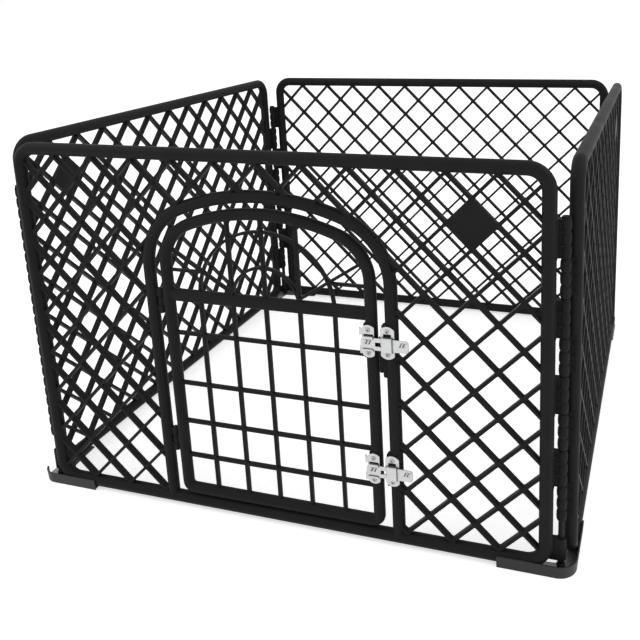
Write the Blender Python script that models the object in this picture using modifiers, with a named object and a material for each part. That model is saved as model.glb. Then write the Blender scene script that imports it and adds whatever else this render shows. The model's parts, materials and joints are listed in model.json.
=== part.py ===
"""Four-panel plastic dog playpen: a square of lattice panels hinged at the corners by rods,
with an arched door and two sliding metal bolts in the front panel.

Panels are drawn in their own upright frame: x to the right seen from outside, y inward
through the thickness, z up from mid height. Each is then turned about the pen's centre.
"""
import math

import bmesh
import bpy
from mathutils import Matrix, Vector

# Driving dimensions, metres
PANEL_WIDTH = 0.842
PANEL_HEIGHT = 0.591
FRAME_TUBE = 0.020
FRAME_CORNER_RADIUS = 0.039
LATTICE_PITCH = 0.069
RIB_WIDTH = 0.0048
LATTICE_DEPTH = 0.009
LATTICE_BORDER = -0.0006
LEAST_CELL = 0.006
PLAQUE_CELL = (9, 6)
FIT_GAP = 0.0003

# Corner hinges: scalloped comb groups of neighbouring panels take turns along one rod
HINGE_BEYOND_PANEL = 0.010
HINGE_INWARD = 0.011
COMB_GROUPS = 8
COMB_PITCH = 0.0551
COMB_TOP = 0.221
COMB_CLEARANCE = 0.0008
KNUCKLE_DIAMETER = 0.0154
COMB_WEB_THICKNESS = 0.009
COMB_WEB_INWARD = 0.0035
COMB_WEB_INTO_TUBE = 0.004
COMB_WEB_SHORT_OF_AXIS = 0.0005
COMB_WEB_TOP_GAP = 0.0018
LUG_BOTTOM = -0.2855
LUG_TOP = -0.2575
LUG_WEB_INTO_TUBE = 0.0095
ROD_DIAMETER = 0.0085
ROD_CLEARANCE = 0.0004
ROD_HEAD_DIAMETER = 0.0125
ROD_HEAD_TOP_DIAMETER = 0.0088
ROD_HEAD_HEIGHT = 0.0025
ROD_COLLAR_DIAMETER = 0.013
ROD_COLLAR_HEIGHT = 0.006
ROD_COLLAR_TAPER = 0.002

# Corner feet
FOOT_ARM_LENGTH = 0.112
FOOT_ARM_WIDTH = 0.032
FOOT_ARM_END_WIDTH = 0.024
FOOT_BASE_HEIGHT = 0.0024
FOOT_WALL_THICKNESS = 0.0025
FOOT_WALL_HEIGHT = 0.0185
FOOT_CORNER_RADIUS = 0.028
FOOT_SOCKET_DEPTH = 0.0014
FOLD_WALL_LENGTH = 0.0075
CUTTER_MARGIN = 0.010

# Doorway and door, both with the same flattened arch
ARCH_CENTRE_BELOW_MIDDLE = 0.128
JAMB_TUBE = 0.018
DOORWAY_HALF_WIDTH = 0.1845
DOORWAY_TOP = 0.2185
DOORWAY_SHOULDER_RADIUS = 0.0905
DOOR_TUBE = 0.018
DOOR_SIDE_GAP = 0.0115
DOOR_TOP_GAP = 0.0075
DOOR_SILL_GAP = 0.0015
DOOR_SHOULDER_RADIUS = 0.079
DOOR_LOWER_CORNER_RADIUS = 0.020
BAR_WIDTH = 0.0052
BAR_DEPTH = 0.0080
BAR_SPACING = 0.0545
MID_RAIL_HEIGHT = 0.067
MID_RAIL_WIDTH = 0.020
MID_RAIL_DEPTH = 0.012
CROSS_BAR_HEIGHTS = (0.005, -0.079, -0.145, -0.205)
SUNBURST_RAY_START = (0.0545, 0.078)
SUNBURST_RAY_END = (0.158, 0.144)
SUNBURST_SIDE_BAR_HEIGHT = 0.107
SUNBURST_SIDE_BAR_START = 0.101
SUNBURST_WIDTH = 0.0042
RING_DEPTH = 0.0077
RAY_DEPTH = 0.0074
SIDE_BAR_DEPTH = 0.0070

# Door hinges
DOOR_HINGE_HEIGHTS = (0.055, -0.180)
DOOR_HINGE_LENGTH = 0.040
DOOR_KNUCKLE_DIAMETER = 0.0104
DOOR_KNUCKLE_CLEARANCE = 0.0006
DOOR_HINGE_WEB = 0.0065
HINGE_PIN_DIAMETER = 0.0044
HINGE_PIN_CLEARANCE = 0.0004
HINGE_PIN_HEAD_DIAMETER = 0.0075
HINGE_PIN_HEAD_TOP_DIAMETER = 0.0052
HINGE_PIN_HEAD_HEIGHT = 0.0016

# Sliding bolt latches
LATCH_HEIGHTS = (0.030, -0.171)
LATCH_PLATE_HEIGHT = 0.049
LATCH_PLATE_WIDTH = 0.0175
LATCH_SHEET = 0.0014
LATCH_SEAT_PROUD = 0.0006
LATCH_SEAT_MARGIN = 0.0015
PLATE_FROM_STILE = 0.0017
PLATE_END_RADIUS = 0.0115
PLATE_LIP_REACH = 0.0016
PLATE_LIP_SHORT = 0.0015
LATCH_TAB_SHEET = 0.0010
LATCH_TAB_REACH = 0.0050
LATCH_TAB_HEIGHT = 0.0100
LATCH_TAB_FROM_SCREW = 0.0035
KEEPER_WIDTH = 0.0205
KEEPER_END_RADIUS = 0.0130
KEEPER_FROM_JAMB = 0.0030
KEEPER_BRIDGE_WIDTH = 0.0150
KEEPER_SLOT_HEIGHT = 0.0045
BOLT_BELOW_CENTRE = 0.0025
BOLT_WIDTH = 0.0185
BOLT_SHEET = 0.0018
BOLT_CORNER_RADIUS = 0.0051
BOLT_BEYOND_PLATE = 0.0108
BOLT_BEYOND_KEEPER = 0.0315
BOLT_SLOT_FROM_PLATE = 0.0107
BOLT_SLOT_FROM_KEEPER = 0.0005
BOLT_SLOT_WIDTH = 0.0065
RIDGES_FROM_BOLT_START = (0.0070, 0.0115)
RIDGES_FROM_BOLT_END = (0.0052, 0.0095)
BOLT_RIDGE_LENGTH = 0.0075
BOLT_RIDGE_LEAN = 0.0033
BOLT_RIDGE_WIDTH = 0.0018
BOLT_RIDGE_PROUD = 0.0008
BOLT_CLEARANCE = 0.0004
SCREW_HEAD_DIAMETER = 0.0062
SCREW_HEAD_TOP_DIAMETER = 0.0046
SCREW_HEAD_HEIGHT = 0.0016
SCREW_SHANK_DIAMETER = 0.0028
SCREW_SHANK_LENGTH = 0.0070
SCREW_FROM_PLATE_END = 0.0070
SCREW_CLEARANCE = 0.0005

# Door stop, a strip that fills the lower part of the gap on the latch side
STOP_BOTTOM = -0.028
STOP_TOP = 0.033
STOP_THICKNESS = 0.0090
STOP_BEHIND_MIDDLE = -0.0025
STOP_BEYOND_DOOR = 0.0015

# Values that follow from the driving ones
FRAME_RADIUS = FRAME_TUBE / 2
JAMB_RADIUS = JAMB_TUBE / 2
DOOR_RADIUS = DOOR_TUBE / 2
HALF_PITCH = LATTICE_PITCH / 2
PANEL_REST_HEIGHT = FOOT_BASE_HEIGHT + FIT_GAP
PANEL_MIDDLE = PANEL_REST_HEIGHT + PANEL_HEIGHT / 2
HINGE_FROM_CENTRE = PANEL_WIDTH / 2 + HINGE_BEYOND_PANEL
PANEL_FROM_CENTRE = HINGE_FROM_CENTRE + HINGE_INWARD
FOOT_OUTER = PANEL_FROM_CENTRE + FRAME_RADIUS + FIT_GAP + FOOT_WALL_THICKNESS
DOOR_HALF_WIDTH = DOORWAY_HALF_WIDTH - DOOR_SIDE_GAP
DOOR_TOP = DOORWAY_TOP - DOOR_TOP_GAP
SILL_TOP = -PANEL_HEIGHT / 2 + FRAME_TUBE
DOOR_BOTTOM = SILL_TOP + DOOR_SILL_GAP
DOOR_HINGE_X = -(DOORWAY_HALF_WIDTH + DOOR_HALF_WIDTH) / 2
ARCH_CENTRE = -ARCH_CENTRE_BELOW_MIDDLE
LATCH_SEAT = JAMB_RADIUS + LATCH_SEAT_PROUD
PLATE_CENTRE_X = DOOR_HALF_WIDTH - DOOR_RADIUS - PLATE_FROM_STILE
KEEPER_CENTRE_X = DOORWAY_HALF_WIDTH + JAMB_RADIUS - KEEPER_FROM_JAMB
BOLT_START = PLATE_CENTRE_X - BOLT_BEYOND_PLATE
BOLT_END = KEEPER_CENTRE_X + BOLT_BEYOND_KEEPER
PLATE_FACE = -(LATCH_SEAT + FIT_GAP + LATCH_SHEET)
PLATE_MIDDLE = PLATE_FACE + LATCH_SHEET / 2
BOLT_BACK = PLATE_FACE - FIT_GAP
BOLT_FACE = BOLT_BACK - BOLT_SHEET
LIP_FACE = BOLT_FACE - FIT_GAP - LATCH_SHEET
# The right-hand thumb ridges pass under the keeper's bridge as the bolt is drawn
BRIDGE_FACE = LIP_FACE - BOLT_RIDGE_PROUD
# The latches stand out at the front, so the pen is moved to centre its box on the origin
LATCH_FRONT = PANEL_FROM_CENTRE - BRIDGE_FACE
CENTRE_SHIFT = max(0.0, (LATCH_FRONT - FOOT_OUTER) / 2)


def clear_scene():
    """Remove the objects of the open file."""
    for old in list(bpy.data.objects):
        bpy.data.objects.remove(old, do_unlink=True)


def new_collection(name):
    """A collection linked to the scene."""
    group = bpy.data.collections.new(name)
    bpy.context.scene.collection.children.link(group)
    return group


clear_scene()
PEN = new_collection("dog_playpen")
CUTTERS = new_collection("cutters")


def material(name, colour, roughness, metallic=0.0):
    """A Principled material with a plain colour."""
    mat = bpy.data.materials.new(name)
    mat.use_nodes = True
    shader = mat.node_tree.nodes["Principled BSDF"]
    shader.inputs["Base Color"].default_value = (*colour, 1.0)
    shader.inputs["Roughness"].default_value = roughness
    shader.inputs["Metallic"].default_value = metallic
    return mat


BLACK_PLASTIC = material("black_plastic", (0.016, 0.016, 0.017), 0.45)
DOOR_PLASTIC = material("door_plastic", (0.014, 0.014, 0.015), 0.42)
FOOT_PLASTIC = material("foot_plastic", (0.020, 0.020, 0.021), 0.50)
ROD_PLASTIC = material("rod_plastic", (0.012, 0.012, 0.013), 0.38)
PIN_STEEL = material("pin_steel", (0.045, 0.045, 0.048), 0.35, 0.8)
LATCH_METAL = material("latch_metal", (0.66, 0.67, 0.68), 0.35, 0.9)


COPLANAR_ANGLE = math.radians(0.1)


def finish_mesh(obj):
    """Weld a working mesh, join its coplanar faces and point its faces outward."""
    shape = bmesh.new()
    shape.from_mesh(obj.data)
    bmesh.ops.remove_doubles(shape, verts=shape.verts, dist=0.000001)
    bmesh.ops.dissolve_limit(shape, angle_limit=COPLANAR_ANGLE, verts=shape.verts,
                             edges=shape.edges)
    bmesh.ops.recalc_face_normals(shape, faces=shape.faces)
    shape.to_mesh(obj.data)
    shape.free()


def mesh_object(name, shape):
    """An object made from a bmesh, in the cutters' collection until it is placed."""
    mesh = bpy.data.meshes.new(name)
    shape.to_mesh(mesh)
    shape.free()
    obj = bpy.data.objects.new(name, mesh)
    CUTTERS.objects.link(obj)
    obj.hide_render = True
    obj.display_type = "WIRE"
    return obj


def box(low, high):
    """A box between two corners."""
    shape = bmesh.new()
    bmesh.ops.create_cube(shape, size=1.0)
    size = [high[axis] - low[axis] for axis in range(3)]
    middle = [(high[axis] + low[axis]) / 2 for axis in range(3)]
    bmesh.ops.scale(shape, vec=size, verts=shape.verts)
    bmesh.ops.translate(shape, vec=middle, verts=shape.verts)
    return mesh_object("box", shape)


def cylinder(diameter, bottom, top, place=(0.0, 0.0), sides=12, axis="Z", top_diameter=None,
             corner_up=False):
    """A cylinder or cone along Z at place (x, y), or along Y at place (x, z). Its flats face
    the axes, or its corners do where corner_up is set."""
    shape = bmesh.new()
    last = diameter if top_diameter is None else top_diameter
    bmesh.ops.create_cone(shape, cap_ends=True, segments=sides, radius1=diameter / 2,
                          radius2=last / 2, depth=top - bottom)
    if not corner_up:
        bmesh.ops.rotate(shape, cent=(0, 0, 0), verts=shape.verts,
                         matrix=Matrix.Rotation(math.pi / sides, 3, "Z"))
    bmesh.ops.translate(shape, vec=(0, 0, (top + bottom) / 2), verts=shape.verts)
    if axis == "Y":
        bmesh.ops.rotate(shape, cent=(0, 0, 0), verts=shape.verts,
                         matrix=Matrix.Rotation(-math.pi / 2, 3, "X"))
        bmesh.ops.translate(shape, vec=(place[0], 0, place[1]), verts=shape.verts)
    else:
        bmesh.ops.translate(shape, vec=(place[0], place[1], 0), verts=shape.verts)
    return mesh_object("cylinder", shape)


def bore(diameter, bottom, top, place=(0.0, 0.0), sides=8, axis="Z"):
    """A cutter for a hole whose flats are as far apart as the diameter."""
    return cylinder(diameter / math.cos(math.pi / sides), bottom, top, place, sides, axis)


def turned(profile, place, sides=8):
    """A solid of revolution about Z: profile is (radius, height) points from top to bottom."""
    mesh = bpy.data.meshes.new("turned")
    points = [(0.0, 0.0, profile[0][1])]
    points += [(radius, 0.0, height) for radius, height in profile]
    points += [(0.0, 0.0, profile[-1][1])]
    edges = [(step, step + 1) for step in range(len(points) - 1)]
    mesh.from_pydata(points, edges, [])
    obj = bpy.data.objects.new("turned", mesh)
    CUTTERS.objects.link(obj)
    screw = obj.modifiers.new("turn", "SCREW")
    screw.axis = "Z"
    screw.steps = sides
    screw.render_steps = sides
    screw.use_merge_vertices = True
    screw.merge_threshold = 0.00001
    solid = applied(obj)
    solid.data.transform(Matrix.Translation((place[0], place[1], 0)))
    return solid


def applied(obj):
    """A mesh object made from an object's evaluated shape, which replaces the object."""
    bpy.context.view_layer.update()
    graph = bpy.context.evaluated_depsgraph_get()
    mesh = bpy.data.meshes.new_from_object(obj.evaluated_get(graph), depsgraph=graph)
    made = bpy.data.objects.new(obj.name, mesh)
    CUTTERS.objects.link(made)
    made.hide_render = True
    made.display_type = "WIRE"
    made.matrix_world = obj.matrix_world
    bpy.data.objects.remove(obj, do_unlink=True)
    finish_mesh(made)
    return made


def tube(points, radius, closed=False, sides=8):
    """A round tube along points (x, z) in the panel's plane, made as a bevelled curve."""
    curve = bpy.data.curves.new("tube", "CURVE")
    curve.dimensions = "3D"
    curve.bevel_depth = radius
    curve.bevel_resolution = sides // 2 - 2
    curve.use_fill_caps = not closed
    line = curve.splines.new("POLY")
    line.points.add(len(points) - 1)
    for point, (x, z) in zip(line.points, points):
        point.co = (x, 0.0, z, 1.0)
    line.use_cyclic_u = closed
    obj = bpy.data.objects.new("tube", curve)
    CUTTERS.objects.link(obj)
    return applied(obj)


def plate(points, depth, middle=0.0):
    """A flat outline of (x, z) points, depth thick in Y about middle."""
    curve = bpy.data.curves.new("plate", "CURVE")
    curve.dimensions = "2D"
    curve.fill_mode = "BOTH"
    curve.extrude = depth / 2
    line = curve.splines.new("POLY")
    line.points.add(len(points) - 1)
    for point, (x, z) in zip(line.points, points):
        point.co = (x, z, 0.0, 1.0)
    line.use_cyclic_u = True
    obj = bpy.data.objects.new("plate", curve)
    CUTTERS.objects.link(obj)
    obj.matrix_world = Matrix.Translation((0, middle, 0)) @ Matrix.Rotation(math.pi / 2, 4, "X")
    made = applied(obj)
    made.data.transform(made.matrix_world)
    made.matrix_world = Matrix.Identity(4)
    return made


def section(points, low, high):
    """A solid whose outline of (y, z) points runs along X from low to high."""
    made = plate(points, high - low)
    made.data.transform(Matrix.Translation(((low + high) / 2, 0, 0))
                        @ Matrix.Rotation(math.pi / 2, 4, "Z"))
    return made


def joined(pieces):
    """One object from pieces that don't touch one another."""
    shape = bmesh.new()
    for piece in pieces:
        shape.from_mesh(piece.data)
        bpy.data.objects.remove(piece, do_unlink=True)
    return mesh_object("joined", shape)


def combine(body, other, operation):
    """Apply one exact Boolean to body and remove the other object."""
    modifier = body.modifiers.new("cut", "BOOLEAN")
    modifier.operation = operation
    modifier.solver = "EXACT"
    modifier.object = other
    made = applied(body)
    bpy.data.objects.remove(other, do_unlink=True)
    return made


def united(pieces):
    """The union of pieces."""
    body = pieces[0]
    for piece in pieces[1:]:
        body = combine(body, piece, "UNION")
    return body


def without(body, cutter):
    """The body with the cutter's space taken out."""
    return combine(body, cutter, "DIFFERENCE")


def arc(centre, radius, start, end, steps):
    """Points (x, z) on an arc, angles in degrees from the +x side."""
    angles = [math.radians(start + (end - start) * step / steps) for step in range(steps + 1)]
    return [(centre[0] + radius * math.cos(turn), centre[1] + radius * math.sin(turn))
            for turn in angles]


def rounded_rectangle(half_width, half_height, radius, steps=3):
    """Corner points of a rectangle with round corners, counter-clockwise."""
    points = []
    for quarter, (side, level) in enumerate(((1, 1), (-1, 1), (-1, -1), (1, -1))):
        centre = (side * (half_width - radius), level * (half_height - radius))
        points += arc(centre, radius, 90 * quarter, 90 * quarter + 90, steps)
    return points


def arch(half_width, top, shoulder, foot_points, shoulder_steps=3, crown_steps=6):
    """An upright sided opening under a flattened arch, from foot_points on the right over to
    their mirror image on the left: a large crown arc meets small shoulder arcs smoothly."""
    crown_radius = top - ARCH_CENTRE
    across = half_width - shoulder
    up = math.sqrt((crown_radius - shoulder) ** 2 - across ** 2)
    turn = math.degrees(math.atan2(up, across))
    right = arc((across, ARCH_CENTRE + up), shoulder, 0, turn, shoulder_steps)
    crown = arc((0.0, ARCH_CENTRE), crown_radius, turn, 180 - turn, crown_steps)
    left = [(-x, z) for x, z in reversed(right)]
    feet = [(-x, z) for x, z in reversed(foot_points)]
    return foot_points + right + crown[1:-1] + left + feet


def doorway_path():
    """Centre line of the jamb tube, down into the middle of the sill."""
    sill_middle = -PANEL_HEIGHT / 2 + FRAME_RADIUS
    half_width = DOORWAY_HALF_WIDTH + JAMB_RADIUS
    return arch(half_width, DOORWAY_TOP + JAMB_RADIUS, DOORWAY_SHOULDER_RADIUS + JAMB_RADIUS,
                [(half_width, sill_middle)])


def doorway_surround():
    """The doorway and the plain border that carries the jamb tube, as a thick block."""
    reach = JAMB_TUBE - LATTICE_BORDER
    half_width = DOORWAY_HALF_WIDTH + reach
    return plate(arch(half_width, DOORWAY_TOP + reach, DOORWAY_SHOULDER_RADIUS + reach,
                      [(half_width, -PANEL_HEIGHT)]), 4 * LATTICE_DEPTH)


def inside_doorway(x, z, margin):
    """Whether a point lies in the doorway, at least margin from its edge."""
    crown = DOORWAY_TOP - margin - ARCH_CENTRE
    return abs(x) < DOORWAY_HALF_WIDTH - margin and math.hypot(x, z - ARCH_CENTRE) < crown


def lattice_holes(doorway, plaque):
    """The diamond cells between the ribs, clipped to the window inside the frame tube."""
    half_width = PANEL_WIDTH / 2 - FRAME_TUBE + LATTICE_BORDER
    half_height = PANEL_HEIGHT / 2 - FRAME_TUBE + LATTICE_BORDER
    reach = HALF_PITCH - RIB_WIDTH / math.sqrt(2)
    columns = int((half_width + reach) / HALF_PITCH)
    rows = int((half_height + reach) / HALF_PITCH)
    holes = []
    for column in range(-columns, columns + 1):
        for row in range(-rows, rows + 1):
            x = column * HALF_PITCH
            z = row * HALF_PITCH
            if (column + row) % 2 == 0 or (plaque and (column, row) == PLAQUE_CELL):
                continue
            past_corner = abs(x) > half_width - LEAST_CELL and abs(z) > half_height - LEAST_CELL
            if past_corner or (doorway and inside_doorway(x, z, reach)):
                continue
            holes.append(cylinder(2 * reach, -LATTICE_DEPTH, LATTICE_DEPTH, (x, z), 4, "Y",
                                  corner_up=True))
    window = rounded_rectangle(half_width, half_height, FRAME_CORNER_RADIUS - FRAME_TUBE)
    clipped = combine(joined(holes), plate(window, 4 * LATTICE_DEPTH), "INTERSECT")
    return without(clipped, doorway_surround()) if doorway else clipped


def lattice(doorway, plaque):
    """The diamond lattice plate, out to the frame tube's centre line."""
    outline = rounded_rectangle(PANEL_WIDTH / 2 - FRAME_RADIUS, PANEL_HEIGHT / 2 - FRAME_RADIUS,
                                FRAME_CORNER_RADIUS - FRAME_RADIUS)
    return without(plate(outline, LATTICE_DEPTH), lattice_holes(doorway, plaque))


def comb_spans(even):
    """Heights (bottom, top) of every other comb group, from the top down."""
    spans = []
    for group in range(COMB_GROUPS):
        if (group % 2 == 0) == even:
            top = COMB_TOP - group * COMB_PITCH - COMB_CLEARANCE / 2
            spans.append((top - COMB_PITCH + COMB_CLEARANCE, top))
    return spans


def comb_group(side, bottom, top, inner_reach=COMB_WEB_INTO_TUBE):
    """One group of knuckles with its web, at the panel's end on side +1 or -1. The web starts
    inner_reach outward of the side tube's centre."""
    hinge_x = side * HINGE_FROM_CENTRE
    barrel = cylinder(KNUCKLE_DIAMETER, bottom, top, (hinge_x, HINGE_INWARD), 8)
    inner = side * (PANEL_WIDTH / 2 - FRAME_RADIUS + inner_reach)
    outer = side * (HINGE_FROM_CENTRE - COMB_WEB_SHORT_OF_AXIS)
    back = HINGE_INWARD + COMB_WEB_INWARD
    web = box((min(inner, outer), back - COMB_WEB_THICKNESS, bottom + COMB_WEB_TOP_GAP),
              (max(inner, outer), back, top - COMB_WEB_TOP_GAP))
    return united([barrel, web])


def comb(side, even):
    """All comb groups at one end of a panel. The front and back panels, which carry the top group,
    also have a plain lug round the rod beside their lower corners."""
    groups = [comb_group(side, bottom, top) for bottom, top in comb_spans(even)]
    if even:
        groups.append(comb_group(side, LUG_BOTTOM, LUG_TOP, -LUG_WEB_INTO_TUBE))
    return joined(groups)


def comb_bore(side):
    """The rod's hole through one end's comb."""
    return bore(ROD_DIAMETER + 2 * ROD_CLEARANCE, LUG_BOTTOM - CUTTER_MARGIN,
                COMB_TOP + CUTTER_MARGIN, (side * HINGE_FROM_CENTRE, HINGE_INWARD))


def frame_tube():
    """The panel's round edge tube."""
    points = rounded_rectangle(PANEL_WIDTH / 2 - FRAME_RADIUS, PANEL_HEIGHT / 2 - FRAME_RADIUS,
                               FRAME_CORNER_RADIUS - FRAME_RADIUS)
    return tube(points, FRAME_RADIUS, closed=True)


def plain_panel(even, plaque):
    """A panel without a doorway."""
    body = united([frame_tube(), lattice(False, plaque), comb(1, even), comb(-1, even)])
    return without(body, joined([comb_bore(1), comb_bore(-1)]))


def seat_pad(x_low, x_high, height):
    """A flat that a latch plate is screwed to, on the front of a stile or jamb."""
    half = LATCH_PLATE_HEIGHT / 2 + LATCH_SEAT_MARGIN
    return box((x_low, -LATCH_SEAT, height - half), (x_high, 0.0, height + half))


def door_hinge_spans(height):
    """Heights of one door hinge's three knuckles, lower, middle, upper."""
    third = DOOR_HINGE_LENGTH / 3
    low = height - DOOR_HINGE_LENGTH / 2
    gap = DOOR_KNUCKLE_CLEARANCE / 2
    return [(low + third * turn + gap, low + third * (turn + 1) - gap) for turn in range(3)]


def door_knuckle(bottom, top, stile_x):
    """One knuckle and its web to the stile or jamb at stile_x."""
    barrel = cylinder(DOOR_KNUCKLE_DIAMETER, bottom, top, (DOOR_HINGE_X, 0.0), 10)
    web = box((min(stile_x, DOOR_HINGE_X), -DOOR_HINGE_WEB / 2, bottom),
              (max(stile_x, DOOR_HINGE_X), DOOR_HINGE_WEB / 2, top))
    return united([barrel, web])


def door_hinge_bores():
    """The pin holes through both door hinges."""
    bores = []
    for height in DOOR_HINGE_HEIGHTS:
        half = DOOR_HINGE_LENGTH / 2 + CUTTER_MARGIN
        bores.append(bore(HINGE_PIN_DIAMETER + 2 * HINGE_PIN_CLEARANCE, height - half,
                          height + half, (DOOR_HINGE_X, 0.0)))
    return joined(bores)


def screw_places(height):
    """Heights of the two screws of one latch plate."""
    reach = LATCH_PLATE_HEIGHT / 2 - SCREW_FROM_PLATE_END
    return (height - reach, height + reach)


def screw_pilots(centre_x):
    """Holes for the latch screws in the plastic behind a column of plates."""
    pilots = []
    for height in LATCH_HEIGHTS:
        for place in screw_places(height):
            diameter = SCREW_SHANK_DIAMETER + 2 * SCREW_CLEARANCE
            depth = -LATCH_SEAT + SCREW_SHANK_LENGTH
            pilots.append(bore(diameter, -LATCH_SEAT - CUTTER_MARGIN, depth, (centre_x, place),
                               6, "Y"))
    return joined(pilots)


def front_panel():
    """The panel with the arched doorway."""
    doorway = doorway_path()
    body = without(lattice(True, True), plate(doorway, FRAME_TUBE * 2))
    jamb = tube(doorway, JAMB_RADIUS)
    body = united([frame_tube(), body, jamb, comb(1, True), comb(-1, True)])
    jamb_x = DOORWAY_HALF_WIDTH + JAMB_RADIUS
    additions = []
    for height in LATCH_HEIGHTS:
        half = KEEPER_WIDTH / 2 - LATCH_SEAT_MARGIN
        additions.append(seat_pad(KEEPER_CENTRE_X - half, KEEPER_CENTRE_X + half, height))
    additions.append(box((DOOR_HALF_WIDTH + STOP_BEYOND_DOOR, STOP_BEHIND_MIDDLE, STOP_BOTTOM),
                         (jamb_x, STOP_BEHIND_MIDDLE + STOP_THICKNESS, STOP_TOP)))
    for height in DOOR_HINGE_HEIGHTS:
        lower, middle, upper = door_hinge_spans(height)
        additions.append(door_knuckle(*lower, -jamb_x))
        additions.append(door_knuckle(*upper, -jamb_x))
    body = united([body] + additions)
    cuts = joined([comb_bore(1), comb_bore(-1), door_hinge_bores(), screw_pilots(KEEPER_CENTRE_X)])
    return without(body, cuts)


def door_outline(inset):
    """The door's outline, closed, moved inward by inset from its outer edge."""
    half_width = DOOR_HALF_WIDTH - inset
    radius = DOOR_LOWER_CORNER_RADIUS - inset
    bottom = DOOR_BOTTOM + inset
    corner = arc((half_width - radius, bottom + radius), radius, -90, 0, 3)
    return arch(half_width, DOOR_TOP - inset, DOOR_SHOULDER_RADIUS - inset, corner)


def bar(start, end, width, depth):
    """A straight flat bar between two points (x, z)."""
    along = Vector((end[0] - start[0], end[1] - start[1])).normalized()
    side = Vector((-along.y, along.x)) * width / 2
    points = [(start[0] - side.x, start[1] - side.y), (end[0] - side.x, end[1] - side.y),
              (end[0] + side.x, end[1] + side.y), (start[0] + side.x, start[1] + side.y)]
    return plate(points, depth)


def half_ring(radius, width, depth):
    """A flat half circle band standing on the mid rail."""
    centre = (0.0, MID_RAIL_HEIGHT)
    outer = arc(centre, radius + width / 2, 0, 180, 8)
    inner = arc(centre, radius - width / 2, 180, 0, 8)
    return plate(outer + inner, depth)


def lower_grid():
    """The square grid under the mid rail, a plate with its cells cut out."""
    half_width = DOOR_HALF_WIDTH - DOOR_RADIUS
    bottom = DOOR_BOTTOM + DOOR_RADIUS
    grid = box((-half_width, -BAR_DEPTH / 2, bottom), (half_width, BAR_DEPTH / 2, MID_RAIL_HEIGHT))
    uprights = [turn * BAR_SPACING for turn in range(-2, 3)]
    edges_x = [-half_width] + uprights + [half_width]
    edges_z = [bottom] + sorted(CROSS_BAR_HEIGHTS) + [MID_RAIL_HEIGHT]
    cells = []
    for left, right in zip(edges_x, edges_x[1:]):
        for low, high in zip(edges_z, edges_z[1:]):
            cells.append(box((left + BAR_WIDTH / 2, -BAR_DEPTH, low + BAR_WIDTH / 2),
                             (right - BAR_WIDTH / 2, BAR_DEPTH, high - BAR_WIDTH / 2)))
    return without(grid, joined(cells))


def sunburst():
    """Half rings, rays, uprights and side bars over the mid rail."""
    reach = DOOR_HALF_WIDTH - DOOR_RADIUS
    pieces = [half_ring(2 * BAR_SPACING, SUNBURST_WIDTH, RING_DEPTH),
              half_ring(BAR_SPACING, SUNBURST_WIDTH, RING_DEPTH)]
    for turn in (-1, 0, 1):
        x = turn * BAR_SPACING
        top = ARCH_CENTRE + math.sqrt((DOOR_TOP - DOOR_RADIUS - ARCH_CENTRE) ** 2 - x * x)
        pieces.append(bar((x, MID_RAIL_HEIGHT), (x, top), BAR_WIDTH, BAR_DEPTH))
    for side in (-1, 1):
        start = (side * SUNBURST_RAY_START[0], SUNBURST_RAY_START[1])
        end = (side * SUNBURST_RAY_END[0], SUNBURST_RAY_END[1])
        pieces.append(bar(start, end, SUNBURST_WIDTH, RAY_DEPTH))
        height = SUNBURST_SIDE_BAR_HEIGHT
        pieces.append(bar((side * SUNBURST_SIDE_BAR_START, height), (side * reach, height),
                          SUNBURST_WIDTH, SIDE_BAR_DEPTH))
    return united(pieces)


def door():
    """The arched door with its grid, sunburst and hinge knuckles."""
    frame = tube(door_outline(DOOR_RADIUS), DOOR_RADIUS, closed=True)
    reach = DOOR_HALF_WIDTH - DOOR_RADIUS
    rail = box((-reach, -MID_RAIL_DEPTH / 2, MID_RAIL_HEIGHT - MID_RAIL_WIDTH / 2),
               (reach, MID_RAIL_DEPTH / 2, MID_RAIL_HEIGHT + MID_RAIL_WIDTH / 2))
    pieces = [frame, rail, lower_grid(), sunburst()]
    for height in LATCH_HEIGHTS:
        half = LATCH_PLATE_WIDTH / 2 - LATCH_SEAT_MARGIN
        pieces.append(seat_pad(PLATE_CENTRE_X - half, PLATE_CENTRE_X + half, height))
    for height in DOOR_HINGE_HEIGHTS:
        pieces.append(door_knuckle(*door_hinge_spans(height)[1], -reach))
    body = united(pieces)
    return without(body, joined([door_hinge_bores(), screw_pilots(PLATE_CENTRE_X)]))


def hinge_pin(height):
    """A headed pin through one door hinge."""
    top = height + DOOR_HINGE_LENGTH / 2 - DOOR_KNUCKLE_CLEARANCE / 2
    shank = cylinder(HINGE_PIN_DIAMETER, height - DOOR_HINGE_LENGTH / 2, top + FIT_GAP * 2,
                     (DOOR_HINGE_X, 0.0), 8)
    head = cylinder(HINGE_PIN_HEAD_DIAMETER, top + FIT_GAP, top + FIT_GAP + HINGE_PIN_HEAD_HEIGHT,
                    (DOOR_HINGE_X, 0.0), 8, "Z", HINGE_PIN_HEAD_TOP_DIAMETER)
    return united([shank, head])


def ear_outline(centre_x, height, width, radius):
    """A latch plate's outline with flattened round ends."""
    spread = math.degrees(math.asin(width / 2 / radius))
    rise = LATCH_PLATE_HEIGHT / 2 - radius
    top = arc((centre_x, height + rise), radius, 90 - spread, 90 + spread, 4)
    low = arc((centre_x, height - rise), radius, 270 - spread, 270 + spread, 4)
    return top + low


def screw_holes(centre_x, height):
    """Clearance holes for the two screws of a plate."""
    holes = []
    for place in screw_places(height):
        diameter = SCREW_SHANK_DIAMETER + 2 * SCREW_CLEARANCE
        holes.append(bore(diameter, PLATE_FACE - CUTTER_MARGIN, PLATE_FACE + CUTTER_MARGIN,
                          (centre_x, place), 6, "Y"))
    return joined(holes)


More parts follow.
